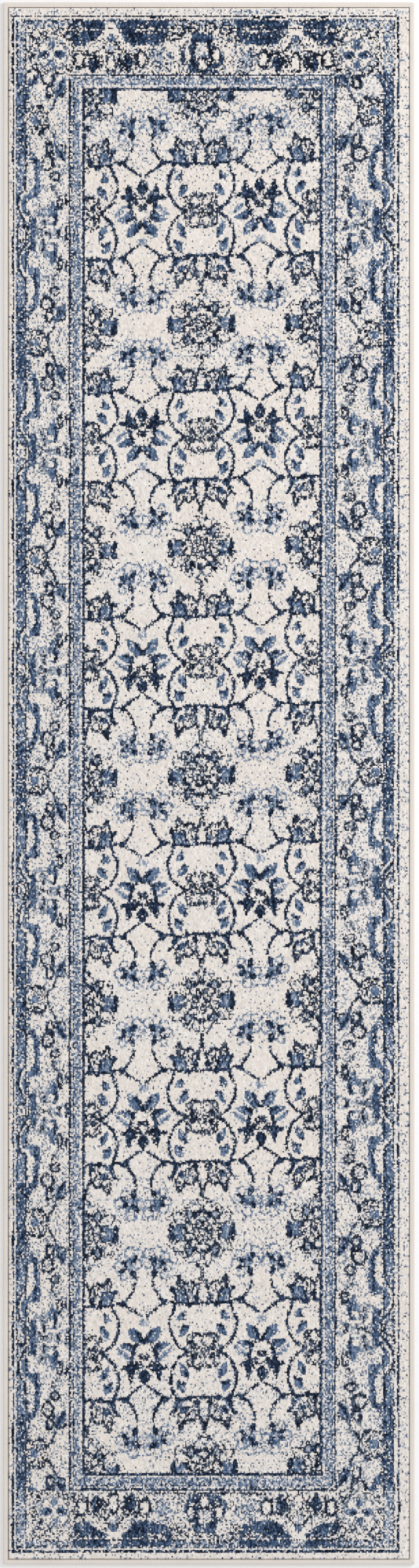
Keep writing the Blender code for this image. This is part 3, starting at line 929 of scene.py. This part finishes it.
def band_blocks(mask):
    """A band as blocks of (first row, last row, first column, last column)."""
    rows, columns = np.flatnonzero(mask.any(axis=1)), np.flatnonzero(mask.any(axis=0))
    top, bottom, left, right = rows[0], rows[-1] + 1, columns[0], columns[-1] + 1
    hole = ~mask[top:bottom, left:right]
    if not hole.any():
        return [(top, bottom, left, right)]
    hole_rows, hole_columns = np.flatnonzero(hole.any(axis=1)) + top, np.flatnonzero(hole.any(axis=0)) + left
    above, below = hole_rows[0], hole_rows[-1] + 1
    before, after = hole_columns[0], hole_columns[-1] + 1
    return [(top, bottom, left, before), (top, bottom, after, right),
            (top, above, before, after), (below, bottom, before, after)]


class BandMap:
    """The flat map of a band: each block cut into lengths that stand side by side."""

    def __init__(self, blocks):
        self.blocks = blocks
        self.boxes = [(column_lines[left], column_lines[right], row_lines[bottom], row_lines[top])
                      for top, bottom, left, right in blocks]
        spans = [(x1 - x0, y1 - y0) for x0, x1, y0, y1 in self.boxes]
        self.side = 200.0
        while True:
            room = self.side - 2 * MAP_MARGIN - BASE_ON_MAP
            self.counts = [math.ceil(max(span) / room) for span in spans]
            widths = [min(span) + 2 * MAP_MARGIN for span in spans]
            if sum(count * width for count, width in zip(self.counts, widths)) <= self.side:
                break
            self.side *= 1.01
        self.lengths = [max(span) / count for span, count in zip(spans, self.counts)]
        self.widths = widths
        self.starts = np.cumsum([0, *(count * width for count, width in zip(self.counts, widths))])

    def upright(self, block):
        x0, x1, y0, y1 = self.boxes[block]
        return y1 - y0 >= x1 - x0

    def part(self, block, x, y):
        """Which length of a block a place falls in."""
        x0, x1, y0, y1 = self.boxes[block]
        along = y1 - y if self.upright(block) else x - x0
        return np.clip((along / self.lengths[block]).astype(int), 0, self.counts[block] - 1)

    def place(self, block, part, x, y):
        """The place on the map, from 0 to 1 each way."""
        x0, x1, y0, y1 = self.boxes[block]
        along, aside = (y1 - y, x - x0) if self.upright(block) else (x - x0, y - y0)
        across = self.starts[block] + part * self.widths[block] + MAP_MARGIN + aside
        down = MAP_MARGIN + BASE_ON_MAP + along - part * self.lengths[block]
        return np.stack([across / self.side, 1 - down / self.side], axis=-1)

    def base_place(self, block, x, y):
        """The base's place, squeezed into the strip at the top of the map."""
        x0, x1, y0, y1 = self.boxes[block]
        share = 1 / len(self.blocks)
        across = (block + 0.02 + 0.96 * (y1 - y) / (y1 - y0)) * share
        down = (2 + (BASE_ON_MAP - 4) * (x1 - x) / (x1 - x0)) / self.side
        return np.stack([across, 1 - down], axis=-1)


print("a band is cut into one block, or four")

# %% Build one band of pile
def corner_ids(rows, columns):
    return rows * (COLUMNS + 1) + columns


def wall_edges(mask):
    """Edges with pile on one side only: the pile's own face, then the edge's two corners as the wall
    meets them, and the way out across the edge."""
    padded = np.pad(mask, 1)
    found = []
    for step_row, step_column, first, second in ((-1, 0, (0, 0), (0, 1)), (1, 0, (1, 1), (1, 0)),
                                                 (0, -1, (1, 0), (0, 0)), (0, 1, (0, 1), (1, 1))):
        beyond = padded[1 + step_row:1 + step_row + ROWS, 1 + step_column:1 + step_column + COLUMNS]
        rows, columns = np.nonzero(mask & ~beyond)
        found.append((rows, columns, corner_ids(rows + first[0], columns + first[1]),
                      corner_ids(rows + second[0], columns + second[1]),
                      np.broadcast_to((step_column, -step_row), (rows.size, 2))))
    return [np.concatenate(parts) for parts in zip(*found)]


def block_loop(block):
    """A block's corners in turn, clockwise from above."""
    top, bottom, left, right = block
    loop = [(top, column) for column in range(left, right)]
    loop += [(row, right) for row in range(top, bottom)]
    loop += [(bottom, column) for column in range(right, left, -1)]
    loop += [(row, left) for row in range(bottom, top, -1)]
    rows, columns = np.array(loop).T
    return corner_ids(rows, columns)


def pile_piece(name, mask, material, replaced):
    """A closed slab of tufts for one band, with its colours and its map."""
    blocks = band_blocks(mask)
    plan = BandMap(blocks)
    flat_x, flat_y = CORNERS[..., 0].ravel() * MM, CORNERS[..., 1].ravel() * MM
    rows, columns = np.nonzero(mask)
    owner = np.zeros(mask.shape, int)
    for index, (top, bottom, left, right) in enumerate(blocks):
        owner[top:bottom, left:right] = index

    def face_parts(rows, columns):
        parts = np.zeros(rows.size, int)
        for index in range(len(blocks)):
            own = owner[rows, columns] == index
            parts[own] = plan.part(index, X[rows[own], columns[own]], Y[rows[own], columns[own]])
        return owner[rows, columns], parts

    def places(index, part, x, y):
        out = np.zeros(x.shape + (2,))
        for block in range(len(blocks)):
            own = index == block
            out[own] = plan.place(block, part[own][:, None], x[own], y[own])
        return out

    tops = np.stack([corner_ids(rows, columns), corner_ids(rows + 1, columns),
                     corner_ids(rows + 1, columns + 1), corner_ids(rows, columns + 1)], axis=1)
    top_map = places(*face_parts(rows, columns), flat_x[tops], flat_y[tops])
    wall_rows, wall_columns, first, second, way = wall_edges(mask)
    edge = np.stack([first, second], axis=1)
    edge_x, edge_y = flat_x[edge], flat_y[edge]
    low_x, low_y = edge_x[:, ::-1] + WALL_ON_MAP * way[:, :1], edge_y[:, ::-1] + WALL_ON_MAP * way[:, 1:]
    wall_x, wall_y = np.hstack([edge_x, low_x]), np.hstack([edge_y, low_y])
    wall_map = places(*face_parts(wall_rows, wall_columns), wall_x, wall_y)
    loops = [block_loop(block) for block in blocks]
    base_map = [plan.base_place(i, flat_x[loop], flat_y[loop]) for i, loop in enumerate(loops)]

    used_top, used_base = np.unique(tops), np.unique(np.concatenate(loops))
    top_index, base_index = np.zeros(flat_x.size, int), np.zeros(flat_x.size, int)
    top_index[used_top] = np.arange(used_top.size)
    base_index[used_base] = used_top.size + np.arange(used_base.size)
    points = CORNERS.reshape(-1, 3)
    base_points = points[used_base].copy()
    base_points[:, 2] = PILE_ROOT
    walls = np.hstack([top_index[edge], base_index[edge[:, ::-1]]])
    faces = top_index[tops].tolist() + walls.tolist() + [base_index[loop].tolist() for loop in loops]

    mesh = bpy.data.meshes.new(name)
    mesh.from_pydata(np.vstack([points[used_top], base_points]).tolist(), [], faces)
    for label, values in (("shade", shade), ("blue", blue), ("warm", warm)):
        on_faces = np.concatenate([values[rows, columns], values[wall_rows, wall_columns],
                                   np.zeros(len(loops))])
        mesh.attributes.new(label, "FLOAT", "FACE").data.foreach_set("value", on_faces.astype(np.float32))
    paint = mesh.uv_layers.new(name="OFBake")
    all_places = np.concatenate([top_map.reshape(-1, 2), wall_map.reshape(-1, 2), *base_map])
    paint.data.foreach_set("uv", all_places.astype(np.float32).ravel())
    mesh.materials.append(material)
    piece = bpy.data.objects.new(name, mesh)
    bpy.context.collection.objects.link(piece)
    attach(piece, "root")
    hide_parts(*replaced)
    print(f"{name}: {len(rows)} tufts, map {plan.side:.0f} mm square")
    return piece


pile_pieces = [pile_piece("field_tufts", IN_FIELD, yarn_material("field_yarn"), ["field_pile"])]
for band, part, yarn, warmth in (("guard_stripe", IN_GUARD, "guard_yarn", 1.0),
                                 ("main_border", IN_BORDER, "border_yarn", 1.0),
                                 ("blue_band", IN_BLUE, "blue_band_yarn", 1.0),
                                 ("outer_band", IN_OUTER, "outer_band_yarn", 0.6)):
    replaced = [f"{band}_{side}" for side in SIDES]
    pile_pieces.append(pile_piece(f"{band}_tufts", part, yarn_material(yarn, warmth), replaced))

# %% [markdown]
# ## The ground cloth
# Under the pile is the cloth that holds it: two wefts of jute over and under a stuffer warp, locked by
# a thin latex coat. From below you see ribs, one for each row of weft. The four CAD layers are drawn
# as the one cloth they make, a closed slab whose underside is ribbed in the mesh itself. Its edge is
# thinner, where the coat stops and the binding wraps it.

# %% Weave the ground cloth
RIB_STEPS = 4
RIB_DEPTH = 0.00045
EDGE_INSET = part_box("upper_weft")[0][0] - LOW.x
COAT_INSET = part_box("back_coating")[0][0] - LOW.x

cloth_x0, cloth_x1 = LOW.x + EDGE_INSET, HIGH.x - EDGE_INSET
cloth_y0, cloth_y1 = LOW.y + EDGE_INSET, HIGH.y - EDGE_INSET
step_in = COAT_INSET - EDGE_INSET
rib_rows = round((cloth_y1 - cloth_y0 - 2 * step_in) * MM / TUFT_TALL) * RIB_STEPS
ribbed_y = np.linspace(cloth_y0 + step_in, cloth_y1 - step_in, rib_rows + 1)
cloth_y = np.concatenate([[cloth_y0], ribbed_y, [cloth_y1]])
cloth_x = np.concatenate([[cloth_x0], np.linspace(cloth_x0 + step_in, cloth_x1 - step_in, 25), [cloth_x1]])
GX, GY = np.meshgrid(cloth_x, cloth_y)
ribs = 0.5 - 0.5 * np.cos(2 * math.pi * (GY - cloth_y0) * MM / TUFT_TALL + 0.5 * np.sin(GX * 41))
under = RIB_DEPTH * ribs * (0.7 + 0.3 * np.sin(GX * 173 + GY * 11)) + LOW.z
rim = np.ones(GX.shape, bool)
rim[1:-1, 1:-1] = False
under[rim] = CLOTH_LOW + LOW.z
over = np.full(GX.shape, CLOTH_TOP)


def closed_slab(name, upper, lower, x, y):
    """A closed mesh between two height grids over the same x and y."""
    ids = np.arange(x.size).reshape(x.shape)
    quads = np.stack([ids[:-1, :-1], ids[:-1, 1:], ids[1:, 1:], ids[1:, :-1]], axis=-1).reshape(-1, 4)
    rim_loop = np.concatenate([ids[0, :-1], ids[:-1, -1], ids[-1, :0:-1], ids[:0:-1, 0]])
    following = np.roll(rim_loop, -1)
    walls = np.stack([following, rim_loop, rim_loop + x.size, following + x.size], axis=-1)
    points = np.vstack([np.stack([x, y, z], axis=-1).reshape(-1, 3) for z in (upper, lower)])
    mesh = bpy.data.meshes.new(name)
    mesh.from_pydata(points.tolist(), [], np.vstack([quads, quads[:, ::-1] + x.size, walls]).tolist())
    return mesh


cloth_mesh = closed_slab("ground_cloth", over, under, GX, GY)
cloth_mesh.attributes.new("rib", "FLOAT", "POINT").data.foreach_set(
    "value", np.concatenate([ribs.ravel(), ribs.ravel()]).astype(np.float32))
ground_cloth = bpy.data.objects.new("ground_cloth", cloth_mesh)
bpy.context.collection.objects.link(ground_cloth)
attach(ground_cloth, "root")
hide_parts("back_coating", "lower_weft", "stuffer_warp", "upper_weft")
print("ground cloth with", rib_rows // RIB_STEPS, "rows of weft")

# %% [markdown]
# ## Jute and latex
# Jute is a coarse brown yarn whose fibres run along the weft. The latex sinks between the ribs and
# leaves their tops nearly bare, so the coat is darker and smoother in the grooves. The rib's height
# rides on the mesh, which puts the latex exactly in the grooves at any scale.

# %% Make the cloth's finish
def cloth_material():
    material, tree, shader, start = start_material("jute_and_latex")
    rib = start.node("ShaderNodeAttribute", {"attribute_name": "rib"}, out=2)
    place = start.node("ShaderNodeTexCoord", out=3)
    along_weft = start.node("ShaderNodeMapping", {}, Vector=place, Scale=(0.12, 1.0, 1.0))
    fibres = start.node("ShaderNodeTexNoise", out=0, Vector=along_weft, Scale=2600.0, Detail=3.0)
    stains = start.node("ShaderNodeTexNoise", out=0, Vector=place, Scale=9.0, Detail=3.0)
    ends = start.node("ShaderNodeTexWave", {"bands_direction": "X"}, out=1, Vector=place, Scale=160.0,
                      Distortion=0.6)
    groove = start.maths("MINIMUM", start.maths("MAXIMUM", rib * 1.5 - 0.35, 0.0), 1.0)
    jute = fibres.blend(dye(150, 124, 92), dye(196, 172, 136))
    coat = stains.blend(dye(176, 164, 142), dye(198, 188, 168))
    plug(tree, shader.inputs["Base Color"], (groove * 0.75 + ends * 0.12).blend(jute, coat))
    plug(tree, shader.inputs["Roughness"], 0.93 - groove * 0.25)
    height = fibres * (1 - groove * 0.6) + ends * 0.3
    plug(tree, shader.inputs["Normal"], height.bump(0.4, 0.0004))
    shader.inputs["Specular IOR Level"].default_value = 0.25
    return material


cloth_mesh.materials.append(cloth_material())
print("cloth finish:", cloth_mesh.materials[0].name)

# %% [markdown]
# ## The bound edge
# The raw edge is overcast: a yarn is wound round a cord, over the cloth's edge, at a slant, turn after
# turn. A curve with a bevel would give a smooth pipe. Here a profile is swept along the edge and each
# turn of yarn swells it a little, so the winding is real shape. The profile is open on the inside, like
# the real lapped edge, and holds the cord and the cloth.

# %% Draw the edging's profile
CORD_LOW, CORD_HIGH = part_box("edge_cord_left")
CORD_IN = ((CORD_LOW[0] + CORD_HIGH[0]) / 2 - LOW.x) * MM
CORD_HIGH_MM = (CORD_LOW[2] + CORD_HIGH[2]) / 2 * MM
CORD_ROOM = (CORD_HIGH[0] - CORD_LOW[0]) / 2 * MM + 0.3
EDGING_WIDE = (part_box("edging_left")[1][0] - LOW.x) * MM
EDGING_HIGH = EDGING_TOP * MM
OUTER_ROUND, FLOOR_ROUND, LIP_ROUND = 3.0, 1.2, 1.4
SLOT_LOW, SLOT_HIGH = CLOTH_LOW * MM - 0.25, CLOTH_TOP * MM + 0.3


def arc(centre, radius, start, end, steps):
    """Points round part of a circle; the angles are in degrees."""
    angles = np.radians(np.linspace(start, end, steps + 1))
    return [(centre[0] + radius * math.cos(a), centre[1] + radius * math.sin(a)) for a in angles]


slot_angle = math.degrees(math.asin((SLOT_HIGH - CORD_HIGH_MM) / CORD_ROOM))
slot_low_angle = math.degrees(math.asin((SLOT_LOW - CORD_HIGH_MM) / CORD_ROOM)) if (
    abs(SLOT_LOW - CORD_HIGH_MM) < CORD_ROOM) else -60.0
skin = [(EDGING_WIDE, SLOT_HIGH + 0.1)]
skin += arc((EDGING_WIDE - LIP_ROUND, EDGING_HIGH - LIP_ROUND), LIP_ROUND, 0, 90, 3)
skin += arc((OUTER_ROUND, EDGING_HIGH - OUTER_ROUND), OUTER_ROUND, 90, 180, 6)
skin += arc((FLOOR_ROUND, FLOOR_ROUND), FLOOR_ROUND, 180, 270, 3)
skin += [(EDGING_WIDE * 0.55, 0.0), (EDGING_WIDE, 0.0)]
inside = [(EDGING_WIDE, SLOT_LOW)]
inside += arc((CORD_IN, CORD_HIGH_MM), CORD_ROOM, slot_low_angle, slot_angle - 360, 8)
profile = np.array(skin + inside)
proud = np.array([1.0] * len(skin) + [0.0] * len(inside))
proud[0] = proud[len(skin) - 1] = 0.3
print("edging profile has", len(profile), "points")

# %% Wind the edging round the rug
CORNER_TURN = 12.0
CORNER_ROUND = 4.5
CORNER_RINGS = 8
TURN_DEPTH = 0.30
LENGTHS = {"left": (HIGH.y - LOW.y) * MM, "right": (HIGH.y - LOW.y) * MM,
           "head": (HIGH.x - LOW.x) * MM, "foot": (HIGH.x - LOW.x) * MM}
ORIGINS = {"left": (LOW.x, LOW.y), "right": (HIGH.x, HIGH.y),
           "head": (LOW.x, HIGH.y), "foot": (HIGH.x, LOW.y)}
ALONG = {"left": (0, 1), "right": (0, -1), "head": (1, 0), "foot": (-1, 0)}


def near_corner(inset, angle):
    """The place of a profile point near a corner: how far in from the edge, and how far from the corner."""
    away = CORNER_TURN - (CORNER_TURN - inset) * math.tan(angle)
    bent = (inset < CORNER_ROUND) & (away < CORNER_ROUND)
    share = np.clip((CORNER_ROUND - away) / np.maximum(CORNER_ROUND - inset, 1e-6), 0, 1) * math.pi / 4
    radius = CORNER_ROUND - inset
    return (np.where(bent, CORNER_ROUND - radius * np.cos(share), inset),
            np.where(bent, CORNER_ROUND - radius * np.sin(share), away))


def edging_rings(side, pitch):
    """Every ring of the sweep as (way in, way along, swell) arrays."""
    length = LENGTHS[side]
    turns = round((length - 2 * CORNER_TURN) / pitch)
    straight = np.linspace(CORNER_TURN, length - CORNER_TURN, turns * 3 + 1)
    angles = np.linspace(math.pi / 4, 0, CORNER_RINGS, endpoint=False)
    span = np.concatenate([[0], np.cumsum(np.hypot(*np.diff(profile, axis=0).T))])
    slant = span / span[len(skin) - 1] * 1.3

    def ring(inset, along, turn):
        swell = (0.5 + 0.5 * np.cos(2 * math.pi * (turn / pitch - slant))) * proud
        return inset, along, swell

    rings = []
    for angle in angles:
        inset, along = near_corner(profile[:, 0], angle)
        rings.append(ring(inset, along, CORNER_TURN - CORNER_TURN * angle))
    rings += [ring(profile[:, 0], np.full(len(profile), place), place) for place in straight]
    for angle in angles[::-1]:
        inset, along = near_corner(profile[:, 0], angle)
        rings.append(ring(inset, length - along, length - CORNER_TURN + CORNER_TURN * angle))
    return rings


def edging_piece(side, pitch, material):
    """One side's overcast edge, from mitre to mitre."""
    out_x = np.gradient(profile[:, 1])
    out_y = -np.gradient(profile[:, 0])
    norm = np.hypot(out_x, out_y)
    along_x, along_y = ALONG[side]
    in_x, in_y = along_y, -along_x
    points, swells = [], []
    for inset, along, swell in edging_rings(side, pitch):
        push = (swell - 1) * TURN_DEPTH
        way = (inset + out_x / norm * push) / MM
        high = (profile[:, 1] + out_y / norm * push) / MM + LOW.z
        x = ORIGINS[side][0] + in_x * way + along_x * along / MM
        y = ORIGINS[side][1] + in_y * way + along_y * along / MM
        points.append(np.stack([x, y, high], axis=-1))
        swells.append(swell)
    count, size = len(points), len(profile)
    ids = np.arange(count * size).reshape(count, size)
    after = np.roll(ids, -1, axis=1)
    quads = np.stack([ids[:-1], after[:-1], after[1:], ids[1:]], axis=-1).reshape(-1, 4).tolist()
    mesh = bpy.data.meshes.new(f"overcast_{side}")
    mesh.from_pydata(np.concatenate(points).tolist(), [], quads + [ids[0, ::-1].tolist(), ids[-1].tolist()])
    swell_data = mesh.attributes.new("swell", "FLOAT", "POINT").data
    swell_data.foreach_set("value", np.concatenate(swells).astype(np.float32))
    mesh.materials.append(material)
    mesh.shade_smooth()
    piece = bpy.data.objects.new(f"overcast_{side}", mesh)
    bpy.context.collection.objects.link(piece)
    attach(piece, "root")
    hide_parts(f"edging_{side}")
    return piece


def edging_material():
    """Cream overcasting yarn, with painted shade between its turns and where its fuzz lies low, and real
    soil.
    """
    material, tree, shader, start = start_material("overcast_yarn")
    swell = start.node("ShaderNodeAttribute", {"attribute_name": "swell"}, out=2)
    place = start.node("ShaderNodeTexCoord", out=3)
    fuzz = start.node("ShaderNodeTexNoise", out=0, Vector=place, Scale=1500.0, Detail=2.0)
    soil = start.node("ShaderNodeTexNoise", out=0, Vector=place, Scale=14.0, Detail=2.0)
    # Painted shade: darker where the swell between turns is low and where the fuzz lies low; the soil noise
    # is real dirt
    turn_shade_fuzz_and_soil = swell * 0.55 + fuzz * 0.5 + soil * 0.25 - 0.15
    plug(tree, shader.inputs["Base Color"], turn_shade_fuzz_and_soil.blend(dye(208, 198, 188), dye(252, 246, 240)))
    plug(tree, shader.inputs["Roughness"], 0.82 + fuzz * 0.12)
    plug(tree, shader.inputs["Normal"], fuzz.bump(0.35, 0.0003))
    shader.inputs["Specular IOR Level"].default_value = 0.2
    shader.inputs["Sheen Weight"].default_value = 0.15
    return material


overcast_yarn = edging_material()
TURN_PITCH = {"left": 2.2, "right": 2.2, "head": 3.3, "foot": 3.3}   # millimetres along the edge
edgings = [edging_piece(side, TURN_PITCH[side], overcast_yarn) for side in SIDES]
print("edging faces:", [len(piece.data.polygons) for piece in edgings])

# %% [markdown]
# ## The seam beside the edging
# A running stitch of tan thread holds the edging's lap down, in the narrow groove beside the pile. Each
# stitch is a short thread that dips at both ends where it goes through the cloth. One stitch is made as
# a bent tube and then repeated along each side.

# %% Sew the seam
STITCH_LONG, STITCH_PITCH, STITCH_SIDES, STITCH_RINGS = 5.2, 6.4, 6, 6
THREAD_LOW, THREAD_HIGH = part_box("seam_thread_left")
SEAM_IN = ((THREAD_LOW[0] + THREAD_HIGH[0]) / 2 - LOW.x) * MM
THREAD_ROUND = (THREAD_HIGH[2] - THREAD_LOW[2]) / 2 * MM
SEAM_HIGH = (THREAD_LOW[2] + THREAD_HIGH[2]) / 2 * MM


def stitch_points():
    """One stitch: (way in, way along, height) rings, its ends tapered and dipped."""
    rings = []
    for share in np.linspace(0, 1, STITCH_RINGS):
        round_here = THREAD_ROUND * max(0.25, math.sin(math.pi * (0.1 + 0.8 * share))) ** 0.5
        dip_here = 0.35 * (2 * share - 1) ** 4
        angles = np.arange(STITCH_SIDES) * 2 * math.pi / STITCH_SIDES
        rings.append(np.stack([round_here * np.cos(angles), np.full(STITCH_SIDES, share * STITCH_LONG),
                               round_here * np.sin(angles) - dip_here], axis=-1))
    return np.concatenate(rings)


def seam_piece(side, material):
    """The row of stitches along one side."""
    one = stitch_points()
    ids = np.arange(len(one)).reshape(STITCH_RINGS, STITCH_SIDES)
    after = np.roll(ids, -1, axis=1)
    quads = np.stack([ids[:-1], ids[1:], after[1:], after[:-1]], axis=-1).reshape(-1, 4).tolist()
    shell = quads + [ids[0].tolist(), ids[-1, ::-1].tolist()]
    along_x, along_y = ALONG[side]
    in_x, in_y = along_y, -along_x
    count = int((LENGTHS[side] - 2 * SEAM_IN - STITCH_LONG) / STITCH_PITCH) + 1
    first = (LENGTHS[side] - (count - 1) * STITCH_PITCH - STITCH_LONG) / 2
    points, faces = [], []
    for k in range(count):
        way = (SEAM_IN + one[:, 0]) / MM
        along = (first + k * STITCH_PITCH + one[:, 1]) / MM
        points.append(np.stack([ORIGINS[side][0] + in_x * way + along_x * along,
                                ORIGINS[side][1] + in_y * way + along_y * along,
                                LOW.z + (SEAM_HIGH + one[:, 2]) / MM], axis=-1))
        faces += [[corner + k * len(one) for corner in face] for face in shell]
    mesh = bpy.data.meshes.new(f"seam_{side}")
    mesh.from_pydata(np.concatenate(points).tolist(), [], faces)
    mesh.materials.append(material)
    mesh.shade_smooth()
    piece = bpy.data.objects.new(f"seam_{side}", mesh)
    bpy.context.collection.objects.link(piece)
    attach(piece, "root")
    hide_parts(f"seam_thread_{side}")
    return count


def twisted_material(name, dark, pale, scale, rough):
    """A twisted thread or cord: slanting stripes of two close colours."""
    material, tree, shader, start = start_material(name)
    place = start.node("ShaderNodeTexCoord", out=3)
    twist = start.node("ShaderNodeTexWave", {"bands_direction": "DIAGONAL"}, out=1, Vector=place,
                       Scale=scale, Distortion=2.0, Detail=2.0)
    plug(tree, shader.inputs["Base Color"], twist.blend(dark, pale))
    plug(tree, shader.inputs["Roughness"], rough + twist * 0.1)
    plug(tree, shader.inputs["Normal"], twist.bump(0.4, 0.0002))
    shader.inputs["Specular IOR Level"].default_value = 0.25
    return material


thread_finish = twisted_material("tan_thread", dye(118, 98, 82), dye(160, 138, 118), 900.0, 0.7)
print("stitches:", {side: seam_piece(side, thread_finish) for side in SIDES})

# %% [markdown]
# ## The cord inside the edge
# The four cords are the CAD's own pieces. They are hidden in the edging, and keep their shape here. A
# hidden part still gets its finish, so that a cut or exploded view looks right.

# %% Finish the cords
cord_finish = twisted_material("jute_cord", dye(140, 114, 80), dye(190, 164, 124), 420.0, 0.85)
for side in SIDES:
    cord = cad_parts[f"edge_cord_{side}"]
    cord.data.materials.clear()
    cord.data.materials.append(cord_finish)
print("cords finished:", len(SIDES))

# %% [markdown]
# ## Floor, light and camera
# A rug is best seen from straight above, in light that is nearly even, so that the yarns keep their own
# colours. An even pale sky gives most of the light, and one large soft lamp from the right gives the
# tufts and the bound edge a little shape. The lens is long, so the rug's sides stay parallel.

# %% Lay the floor and set the lights
FLOOR_REACH = 6.0
FLOOR_GAP = 0.0002


def floor_material():
    material, tree, shader, start = start_material("studio_floor")
    place = start.node("ShaderNodeTexCoord", out=3)
    cloudy = start.node("ShaderNodeTexNoise", out=0, Vector=place, Scale=3.0)
    plug(tree, shader.inputs["Base Color"], cloudy.blend(dye(243, 243, 243), dye(247, 247, 247)))
    shader.inputs["Roughness"].default_value = 0.9
    shader.inputs["Emission Color"].default_value = (1.0, 1.0, 1.0, 1.0)
    shader.inputs["Emission Strength"].default_value = 0.08
    return material


floor_mesh = bpy.data.meshes.new("floor")
floor_corners = [(x * FLOOR_REACH, y * FLOOR_REACH, LOW.z - FLOOR_GAP)
                 for x, y in ((-1, -1), (1, -1), (1, 1), (-1, 1))]
floor_mesh.from_pydata(floor_corners, [], [(0, 1, 2, 3)])
floor_mesh.materials.append(floor_material())
floor = bpy.data.objects.new("floor", floor_mesh)
bpy.context.collection.objects.link(floor)

world = bpy.data.worlds.new("sky")
world.use_nodes = True
world.node_tree.nodes["Background"].inputs["Color"].default_value = (1.0, 1.0, 1.0, 1.0)
world.node_tree.nodes["Background"].inputs["Strength"].default_value = 0.72
bpy.context.scene.world = world


def soft_lamp(name, place, size, power):
    """A large square lamp aimed at the rug's middle."""
    lamp = bpy.data.lights.new(name, "AREA")
    lamp.shape = "SQUARE"
    lamp.size = size
    lamp.energy = power
    holder = bpy.data.objects.new(name, lamp)
    holder.location = place
    holder.rotation_euler = (-Vector(place)).to_track_quat("-Z", "Y").to_euler()
    bpy.context.collection.objects.link(holder)


soft_lamp("key_lamp", (4.6, 2.4, 3.6), 3.0, 170.0)
bpy.context.scene.view_settings.view_transform = "Standard"
print("floor and lights ready")

# %% Set up the camera
LENS, SENSOR = 200.0, 36.0
VIEW_LONG = 3.010
VIEW_CENTRE = (0.0012, -0.0011)

camera_data = bpy.data.cameras.new("camera")
camera_data.lens = LENS
camera_data.sensor_width = SENSOR
camera_data.clip_end = 60.0
camera = bpy.data.objects.new("camera", camera_data)
camera.location = (*VIEW_CENTRE, PILE_TOP + VIEW_LONG * LENS / SENSOR)
bpy.context.collection.objects.link(camera)
bpy.context.scene.camera = camera
print("camera", round(camera.location.z, 2), "m above the floor")
